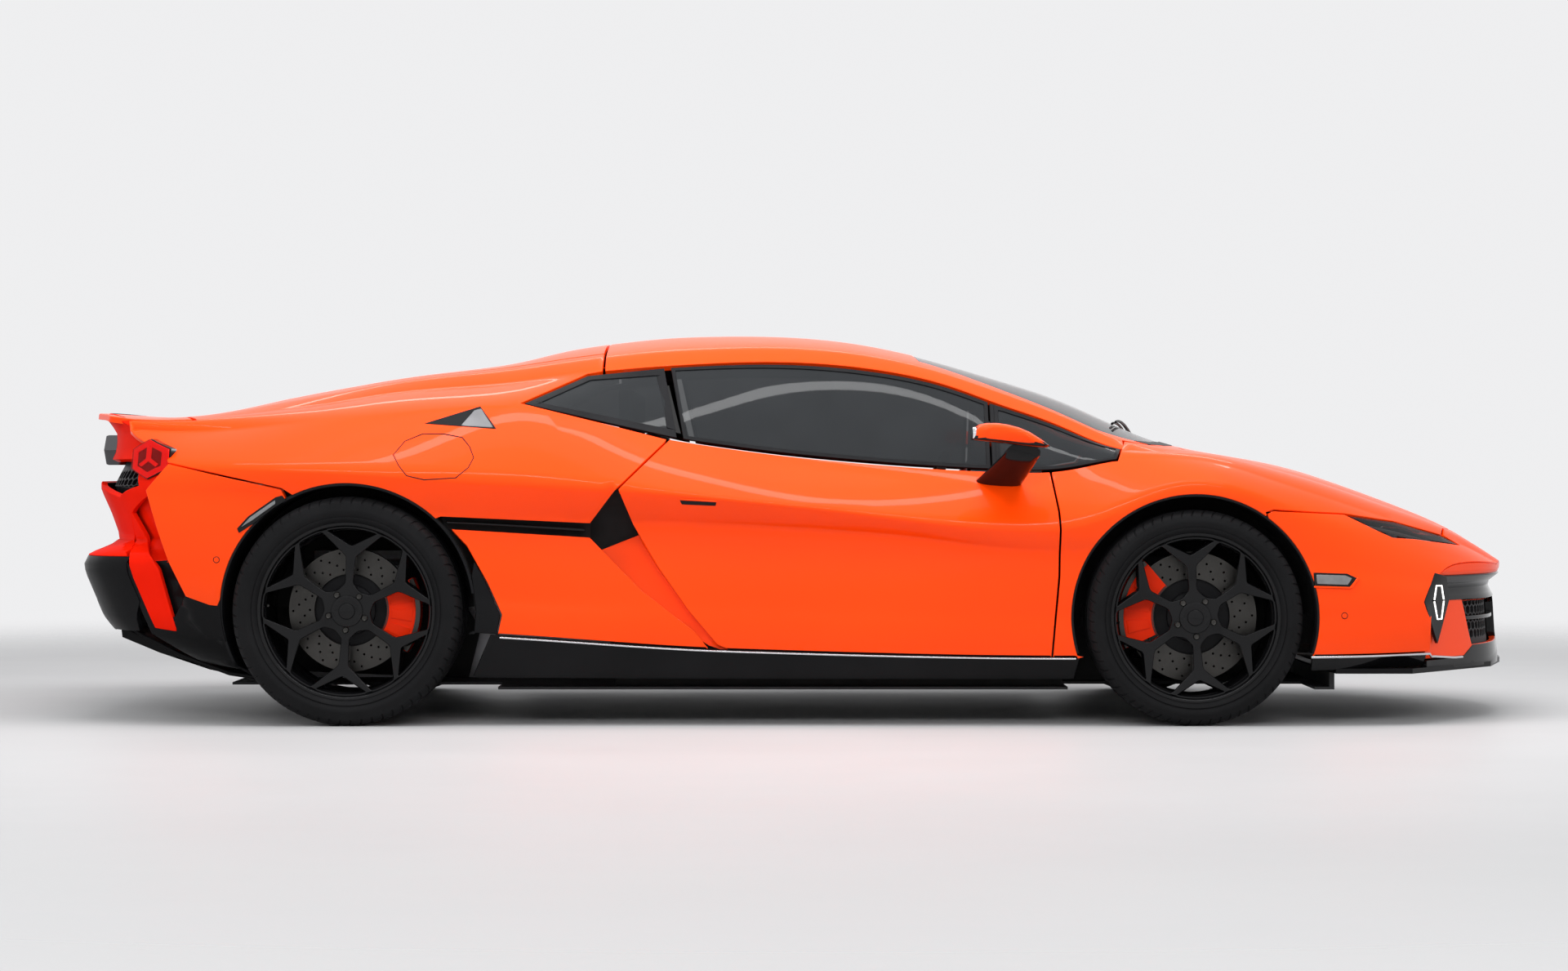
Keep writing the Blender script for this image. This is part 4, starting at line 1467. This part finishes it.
    def disc_point(u, v):
        """Outer face of the brake disc."""
        return np.stack([u, np.full(len(u), disc_y - 0.017), v], 1)
    loops = [np.array(arc(x, radius, disc_radius, 0, 357, 119)),
             np.array(arc(x, radius, disc_radius * 0.585, 0, 354, 59))]
    loops += [np.array(arc(*on_circle(x, radius, r * disc_radius, 20 * index + row * 7), 0.0034, 0, 315, 7))
              for row, r in enumerate((0.66, 0.75, 0.84, 0.93)) for index in range(18)]
    both_sides(f"disc_{axle}", loops, [STEEL, STEEL], wheels, suffix="", depth=0.034, edge=0.0006, pitch=0.05,
               sheet=wheel_sheet(disc_point))
    bm = bmesh.new()
    hat = [(0.046, -0.020), (0.074, -0.020), (0.078, -0.017), (0.080, -0.006), (disc_radius * 0.60, -0.004),
           (disc_radius * 0.60, 0.004), (0.078, 0.006), (0.046, 0.006)]
    lathe(bm, [(r, disc_y + deep) for r, deep in hat], 72, (x, 0, radius))
    neck = [(0.047, face + 0.05), (0.052, face + 0.05), (0.060, disc_y - 0.019), (0.047, disc_y - 0.019)]
    lathe(bm, neck, 48, (x, 0, radius))
    settle_both(bm, f"disc_hat_{axle}", [SATIN], wheels)


def caliper_piece(axle, x, radius, width, outer, disc_radius, start, sweep, bodies):
    """Painted brake caliper with ribs, over the disc's rim."""
    half = width / 2
    disc_y = -(outer - half) - (half - 0.150)
    low, high = disc_y - 0.0465, disc_y + 0.0545
    inner, rim = disc_radius * 0.62 - 0.0015, disc_radius + 0.0295
    cheek = [(inner + 0.006, low), (inner, low + 0.006), (inner, disc_y - 0.0235),
             (disc_radius + 0.006, disc_y - 0.0235), (disc_radius + 0.006, disc_y + 0.0235), (inner, disc_y + 0.0235),
             (inner, high - 0.004), (inner + 0.006, high), (rim - 0.016, high), (rim - 0.003, high - 0.012),
             (rim, high - 0.024), (rim, low + 0.024), (rim - 0.004, low + 0.010), (rim - 0.018, low)]
    rib = [(inner + 0.014, low - 0.0030), (inner + 0.018, low - 0.0040), (rim - 0.030, low - 0.0040),
           (rim - 0.024, low - 0.0015), (rim - 0.024, low + 0.004), (inner + 0.014, low + 0.004)]
    bm = bmesh.new()
    lathe(bm, cheek, 28, (x, 0, radius), start=start - 0.5, sweep=sweep + 1)
    for share in (0.22, 0.50, 0.78):
        lathe(bm, rib, 6, (x, 0, radius), start=start + sweep * share - 5.5, sweep=11)
    settle_both(bm, f"caliper_{axle}", [CALIPER], bodies, sharp=32)


FRONT_WHEEL = ("front", FRONT_X, FRONT_Z, 0.255, 0.268, 0.988)
REAR_WHEEL = ("rear", REAR_X, REAR_Z, 0.325, 0.280, 0.997)
for values, disc_radius, turn in ((FRONT_WHEEL, 0.205, 94.0), (REAR_WHEEL, 0.195, 86.0)):
    tyre_piece(*values)
    wheel_piece(*values, disc_radius, turn)
caliper_piece("front", FRONT_X, FRONT_Z, 0.255, 0.988, 0.205, 131, 74, ("knuckle_right", "knuckle_left"))
caliper_piece("rear", REAR_X, REAR_Z, 0.325, 0.997, 0.195, -36, 63, BOTH)


# Cabin: padded seats with bolsters, dashboard, screens, steering wheel, console and belts
def form_ring(centre, forward, wide, thick, bolster, count=36):
    """Closed cross-section of a seat: crowned, with a raised bolster along each side of its front."""
    ring = []
    for k in range(count):
        a = 2 * math.pi * k / count
        across, deep = rounded(a, wide, thick / 2, 0.62, 0.62)
        if math.sin(a) > 0:
            side = abs(across) / wide
            deep += bolster * max(0.0, math.sin(math.pi * min(1, max(0, (side - 0.52) / 0.48)))) ** 1.2
            deep -= 0.012 * (1 - side) * bolster / 0.05
        ring.append((centre[0] + forward[0] * deep, centre[1] + across, centre[2] + forward[1] * deep))
    return ring


def spaced(values, part):
    """Value of a table of (part, value, ...) rows at a part."""
    return [float(np.interp(part, [row[0] for row in values], [row[k] for row in values]))
            for k in range(1, len(values[0]))]


# Backrest and cushion as rows of share, x, z, half width, thickness and bolster, and the way each one faces
BACK = [(0.0, -0.292, 0.245, 0.218, 0.130, 0.045), (0.12, -0.318, 0.330, 0.232, 0.135, 0.062),
        (0.40, -0.375, 0.500, 0.232, 0.128, 0.060), (0.62, -0.425, 0.650, 0.222, 0.112, 0.050),
        (0.74, -0.452, 0.735, 0.190, 0.098, 0.020), (0.80, -0.466, 0.780, 0.135, 0.086, 0.006),
        (0.90, -0.488, 0.850, 0.128, 0.086, 0.010), (0.97, -0.504, 0.903, 0.112, 0.074, 0.004),
        (1.0, -0.511, 0.922, 0.070, 0.040, 0.0)]
CUSHION = [(0.0, -0.300, 0.248, 0.205, 0.120, 0.030), (0.08, -0.262, 0.252, 0.228, 0.150, 0.048),
           (0.5, -0.070, 0.240, 0.234, 0.160, 0.050), (0.85, 0.090, 0.246, 0.226, 0.150, 0.030),
           (0.96, 0.128, 0.236, 0.206, 0.120, 0.010), (1.0, 0.138, 0.232, 0.180, 0.080, 0.0)]
LEAN, UPRIGHT = (0.955, 0.297), (0.0, 1.0)


def seat(name, y, node_name):
    """Seat with a cushion, a backrest with built-in headrest, seams and a hard shell."""
    bm = bmesh.new()
    for rows, forward, count in ((BACK, LEAN, 34), (CUSHION, UPRIGHT, 26)):
        rings = []
        for part in np.linspace(0, 1, count):
            x, z, wide, thick, bolster = spaced(rows, part)
            rings.append(form_ring((x, y, z), forward, wide, thick, bolster))
        loft(bm, rings)
    form = settle(bm, name, [LEATHER], sharp=70, replaced=[node_name])

    def seam_point(rows, forward, part, share, sunk, lift):
        """Point on a seat's face at a part of its length and a share of its half width."""
        x, z, wide, thick, _ = spaced(rows, part)
        deep = thick / 2 * sunk + lift
        return x + forward[0] * deep, y + wide * share, z + forward[1] * deep
    bm = bmesh.new()
    for side in (-0.5, 0.5):
        for rows, forward, start, end in ((BACK, LEAN, 0.05, 0.70), (CUSHION, UPRIGHT, 0.10, 0.93)):
            tube(bm, [seam_point(rows, forward, part, side, 0.93, 0.002) for part in np.linspace(start, end, 16)],
                 0.0028, sides=6)
    for rows, forward, parts in ((BACK, LEAN, (0.24, 0.38, 0.52, 0.66)), (CUSHION, UPRIGHT, (0.30, 0.50, 0.70))):
        for part in parts:
            tube(bm, [seam_point(rows, forward, part, share, 0.90, 0.0025) for share in np.linspace(-0.5, 0.5, 9)],
                 0.0022, sides=6)
    settle(bm, f"{name}_seams", [WEBBING], sharp=60)
    bm = bmesh.new()
    rings = []
    for part in np.linspace(0.04, 0.98, 14):
        x, z, wide, thick, _ = spaced(BACK, part)
        rings.append(form_ring((x - LEAN[0] * thick * 0.42, y, z - LEAN[1] * thick * 0.42), LEAN, wide * 0.97, 0.035,
                               0.0, 24))
    loft(bm, rings)
    settle(bm, f"{name}_shell", [BLACK], sharp=50)
    side = 1 if y > 0 else -1
    inboard = y - side * 0.20
    belt = [(-0.505, y + side * 0.150, 0.90), (-0.440, y + side * 0.135, 0.800), (-0.345, y + side * 0.085, 0.640),
            (-0.275, y + side * 0.010, 0.480), (-0.225, y - side * 0.100, 0.370), (-0.215, inboard, 0.300)]
    smooth = [Vector(between(belt, part)) for part in np.linspace(0, len(belt) - 1, 30)]
    ahead_of_seat = Vector((LEAN[0], 0, LEAN[1]))
    out = ahead_of_seat * 0.0009
    rows = []
    for index, point in enumerate(smooth):
        ahead = smooth[min(index + 1, 29)] - smooth[max(index - 1, 0)]
        over = ahead_of_seat.cross(ahead).normalized() * 0.023
        rows.append([point - over - out, point + over - out, point + over + out, point - over + out])
    bm = bmesh.new()
    loft(bm, rows)
    settle(bm, f"{name}_belt", [WEBBING], sharp=50)
    buckle = [(inboard - 0.016, 0.235), (inboard + 0.016, 0.235), (inboard + 0.018, 0.312), (inboard - 0.018, 0.312)]
    solid(f"{name}_buckle", [(buckle, -0.232, -0.205, "yz", 0, 0.005)], [SATIN])


seat("seat_right_form", -0.36, "seat_right")
seat("seat_left_form", 0.36, "seat_left")

profile = [(0.535, 0.535), (0.522, 0.600), (0.524, 0.690), (0.548, 0.738), (0.600, 0.768), (0.700, 0.784),
           (0.775, 0.780), (0.776, 0.555), (0.640, 0.530)]
bm = bmesh.new()
rings = []
for y in np.linspace(-0.662, 0.662, 61):
    hood = 0.028 * math.exp(-((y + 0.36) / 0.17) ** 4)
    dip = 0.020 * math.exp(-(y / 0.14) ** 4)
    rings.append([(x + dip * (x < 0.56) - 0.5 * hood * (x < 0.60), y, z + (hood - 0.3 * dip) * (0.70 < z))
                  for x, z in profile])
loft(bm, rings)
settle(bm, "dashboard_form", [SUEDE], sharp=40, replaced=["dashboard"])
solid("dashboard_trim", [
    (box(-0.655, 0.655, 0.632, 0.650), 0.508, 0.530, "yz", 0, 0.004),
    ([(-0.130, 0.560), (0.130, 0.560), (0.115, 0.628), (-0.115, 0.628)], 0.512, 0.532, "yz", 0, 0.005)],
    [CARBON], finish="black_gloss")
solid("screens", [
    ([(-0.490, 0.668), (-0.230, 0.668), (-0.240, 0.770), (-0.480, 0.770)], 0.492, 0.503, "yz", 0, 0.004),
    (box(-0.098, 0.098, 0.655, 0.735), 0.530, 0.539, "yz", 0, 0.004),
    (box(0.240, 0.480, 0.664, 0.712), 0.506, 0.516, "yz", 0, 0.004)], [DISPLAY])
vents = (-0.60, -0.165, 0.165, 0.60)
solid("air_vents", [(six_sides(y, 0.700, 0.045, 0.022), 0.508, 0.530, "yz", 0, 0.003) for y in vents], [SILVER])
solid("air_vent_slats", [(box(y - 0.030, y + 0.030, z - 0.002, z + 0.002), 0.5055, 0.515, "yz", 0, 0.0008)
                         for y in vents for z in (0.690, 0.700, 0.710)], [CARBON])

bm = bmesh.new()
rings = []
for x, high, wide in ((-0.552, 0.462, 0.088), (-0.45, 0.470, 0.092), (-0.10, 0.470, 0.092), (0.10, 0.462, 0.092),
                      (0.30, 0.440, 0.090), (0.42, 0.470, 0.086), (0.505, 0.512, 0.082)):
    half_ring = [(wide, 0.150), (wide, high - 0.03), (wide - 0.012, high - 0.008), (wide - 0.03, high)]
    rings.append([(x, -y, z) for y, z in half_ring] + [(x, y, z) for y, z in half_ring[::-1]])
loft(bm, rings)
settle(bm, "console_form", [LEATHER], sharp=50, replaced=["console"])
solid("console_top", [
    ([(-0.02, -0.055), (0.29, -0.050), (0.29, 0.050), (-0.02, 0.055)], 0.452, 0.478, "xy", 0, 0.006),
    (box(0.16, 0.24, -0.022, 0.022), 0.470, 0.505, "xy", 1, 0.008),
    (box(0.03, 0.10, -0.030, 0.030), 0.470, 0.486, "xy", 2, 0.006)], [BLACK, SILVER, PAINT_DARK])

# Steering wheel: flat-bottomed rim, three spokes, hub, paddles and column
hub_place = Vector((0.40, -0.36, 0.69))
axis = Vector((-1, 0, 0.42)).normalized()
across = Vector((0, 1, 0))
upward = axis.cross(across).normalized()
if upward.z < 0:
    upward = -upward


def by_hub(out, up, behind=0.0):
    """Point beside, above and behind the steering wheel's hub."""
    return hub_place + across * out - axis * behind + upward * up


bm = bmesh.new()
rim = [by_hub(0.178 * math.cos(2 * math.pi * k / 64), max(0.172 * math.sin(2 * math.pi * k / 64), -0.135))
       for k in range(64)]
tube(bm, rim + rim[:1], 0.0150, sides=12)
settle(bm, "steering_rim", [SUEDE], sharp=60, replaced=["steering_wheel"])
bm = bmesh.new()
tube(bm, [by_hub(-0.168, 0), by_hub(-0.09, 0, 0.012), by_hub(0, 0, 0.018), by_hub(0.09, 0, 0.012), by_hub(0.168, 0)],
     [0.013, 0.016, 0.024, 0.016, 0.013], sides=10)
tube(bm, [by_hub(0, 0, 0.018), by_hub(0, -0.128)], [0.022, 0.013], sides=10)
tube(bm, [by_hub(0, 0, 0.012), by_hub(0, 0, 0.155)], [0.030, 0.038], sides=20)
for side in (-1, 1):
    tube(bm, [by_hub(side * out, up, 0.035) for out, up in ((0.10, -0.06), (0.115, 0.02), (0.105, 0.10))],
         [0.010, 0.014, 0.006], sides=8, slot=1)
settle(bm, "steering_hub", [SATIN, BLACK], sharp=50)
bm = bmesh.new()
loft(bm, [[by_hub(*rounded(2 * math.pi * k / 20, 0.060 * grow, 0.050 * grow, 0.7, 0.7), -lift) for k in range(20)]
          for lift, grow in ((-0.012, 1.0), (0.004, 1.0), (0.012, 0.88), (0.014, 0.5))])
settle(bm, "steering_boss", [LEATHER], sharp=50)

# Door cards with an armrest and a pull, seen when a door is open
card = route(("side", [(0.700, 0.690), (0.730, 0.480), (0.720, 0.270), (-0.200, 0.290), (-0.330, 0.450),
                       (-0.440, 0.640), (-0.440, 0.770), (0.700, 0.690)]))
both_sides("door_card", [card], [SUEDE, SUEDE], DOORS, depth=0.006, raise_by=-0.074, pitch=0.06)
bm = bmesh.new()
rings = []
for x in np.linspace(-0.20, 0.42, 16):
    base = flank_y(x, 0.55) + 0.075
    part = (x + 0.20) / 0.62
    tall = 0.020 + 0.012 * math.sin(math.pi * part)
    deep = 0.040 * math.sin(math.pi * min(1, max(0.06, part * 0.9 + 0.06))) ** 0.5
    rings.append([(x, base + deep * out, 0.55 - 0.03 * part + tall * up)
                  for out, up in ((0, -1), (0.8, -0.8), (1, 0), (0.8, 0.8), (0, 1))])
loft(bm, rings)
settle_both(bm, "door_armrest", [LEATHER], DOORS, sharp=60)


# Finishes of the CAD nodes that stay in sight
KEPT_FINISH = {
    "chassis_tub": CARBON, "luggage_box": MATTE, "undertray": MATTE, "powertrain_block": ALLOY, "rear_axle": STEEL,
    "suspension_arms": ALLOY, "wheel_arch_liners": CARBON, "front_knuckle_left": STEEL, "front_knuckle_right": STEEL,
    "front_splitter": LOWER}
for name, finish in KEPT_FINISH.items():
    item = NODES[name]
    if isinstance(item, str):
        item = bpy.data.objects[item]
    for entry in item.material_slots:
        entry.material = finish
    if not item.material_slots:
        item.data.materials.append(finish)


def area_light(name, place, target, size, power, seen=True):
    """Soft rectangular lamp turned to a target."""
    lamp = bpy.data.lights.new(name, "AREA")
    lamp.shape = "RECTANGLE"
    lamp.size, lamp.size_y = size
    lamp.energy = power
    item = placed(name, lamp)
    item.location = place
    item.rotation_euler = (Vector(target) - Vector(place)).to_track_quat("-Z", "Y").to_euler()
    item.visible_glossy = seen


area_light("key_overhead", (0.2, -0.8, 4.6), (0, 0, 0), (5.5, 2.6), 330, seen=False)
area_light("near_side", (-0.6, -7.0, 3.4), (0, 0, 0.5), (7.0, 1.4), 240, seen=False)
area_light("far_side", (0.5, 6.0, 3.2), (0, 0, 0.6), (6.5, 1.6), 110, seen=False)
area_light("tail_side", (-6.0, -2.5, 2.6), (-1.5, 0, 0.5), (2.4, 1.4), 70, seen=False)
area_light("nose_side", (6.0, -2.0, 2.6), (1.5, 0, 0.5), (2.4, 1.4), 70, seen=False)
area_light("strip_near", (-0.1, -3.6, 4.3), (0, -0.4, 0.8), (6.4, 0.24), 48)
area_light("strip_top", (-0.1, -1.3, 4.8), (0, -0.2, 0.9), (6.4, 0.22), 36)
area_light("strip_far", (-0.1, 3.4, 4.3), (0, 0.4, 0.8), (6.4, 0.24), 30)

world = bpy.data.worlds.new("studio")
bpy.context.scene.world = world
world.use_nodes = True
tree = world.node_tree
tree.nodes.clear()
output = tree.nodes.new("ShaderNodeOutputWorld")
rays = tree.nodes.new("ShaderNodeLightPath")
ambient = node(tree, "ShaderNodeBackground", (-300, 100), Color=(0.62, 0.63, 0.65, 1), Strength=0.5)
seen = node(tree, "ShaderNodeBackground", (-300, -100), Color=(0.86, 0.86, 0.87, 1), Strength=1.0)
mirrored_rays = node(tree, "ShaderNodeMath", (-500, 200), operation="MAXIMUM")
all_seen = node(tree, "ShaderNodeMath", (-400, 200), operation="MAXIMUM")
mixed = tree.nodes.new("ShaderNodeMixShader")
tree.links.new(rays.outputs["Is Glossy Ray"], mirrored_rays.inputs[0])
tree.links.new(rays.outputs["Is Transmission Ray"], mirrored_rays.inputs[1])
tree.links.new(mirrored_rays.outputs["Value"], all_seen.inputs[0])
tree.links.new(rays.outputs["Is Camera Ray"], all_seen.inputs[1])
tree.links.new(all_seen.outputs["Value"], mixed.inputs["Fac"])
tree.links.new(ambient.outputs["Background"], mixed.inputs[1])
tree.links.new(seen.outputs["Background"], mixed.inputs[2])
tree.links.new(mixed.outputs["Shader"], output.inputs["Surface"])

# Pale floor that fades into the background away from the car
floor_mesh = bpy.data.meshes.new("studio_floor")
wide = 16.0
floor_mesh.from_pydata([(-wide, -wide, 0), (wide, -wide, 0), (wide, wide, 0), (-wide, wide, 0)], [], [(0, 1, 2, 3)])
floor_item = placed("studio_floor", floor_mesh)
floor_item.location.z = -0.0005
FLOOR_FINISH = material(None, "pale_floor", (0.42, 0.42, 0.425), 0.5, grain=0.05, grain_scale=60, tint=0.02,
                        tint_scale=0.7, spread=0.06, Specular_IOR_Level=0.3)
floor_mesh.materials.append(FLOOR_FINISH)
tree = FLOOR_FINISH.node_tree
shader = tree.nodes["Principled BSDF"]
place = node(tree, "ShaderNodeTexCoord", (-900, 500))
reach = node(tree, "ShaderNodeVectorMath", (-700, 500), operation="LENGTH")
fade = node(tree, "ShaderNodeMapRange", (-500, 500), interpolation_type="SMOOTHERSTEP")
for name, value in (("From Min", 3.2), ("From Max", 8.5), ("To Min", 1.0), ("To Max", 0.0)):
    fade.inputs[name].default_value = value
tree.links.new(place.outputs["Object"], reach.inputs[0])
tree.links.new(reach.outputs["Value"], fade.inputs["Value"])
tree.links.new(fade.outputs["Result"], shader.inputs["Alpha"])

# Camera of the photograph, square to the right side and calibrated on the wheelbase (metres, mm and degrees)
CAMERA_PLACE, CAMERA_LENS, CAMERA_TILT = (-0.065, -12.0, 0.80), 80.94, -0.2455
camera = bpy.data.cameras.new("photo_camera")
camera.sensor_fit = "HORIZONTAL"
camera.sensor_width = 36.0
camera.lens = CAMERA_LENS
camera.clip_end = 200
camera_item = placed("photo_camera", camera)
camera_item.location = CAMERA_PLACE
camera_item.rotation_euler = (math.radians(90 + CAMERA_TILT), 0, 0)
bpy.context.scene.camera = camera_item
bpy.context.scene.view_settings.view_transform = "Standard"
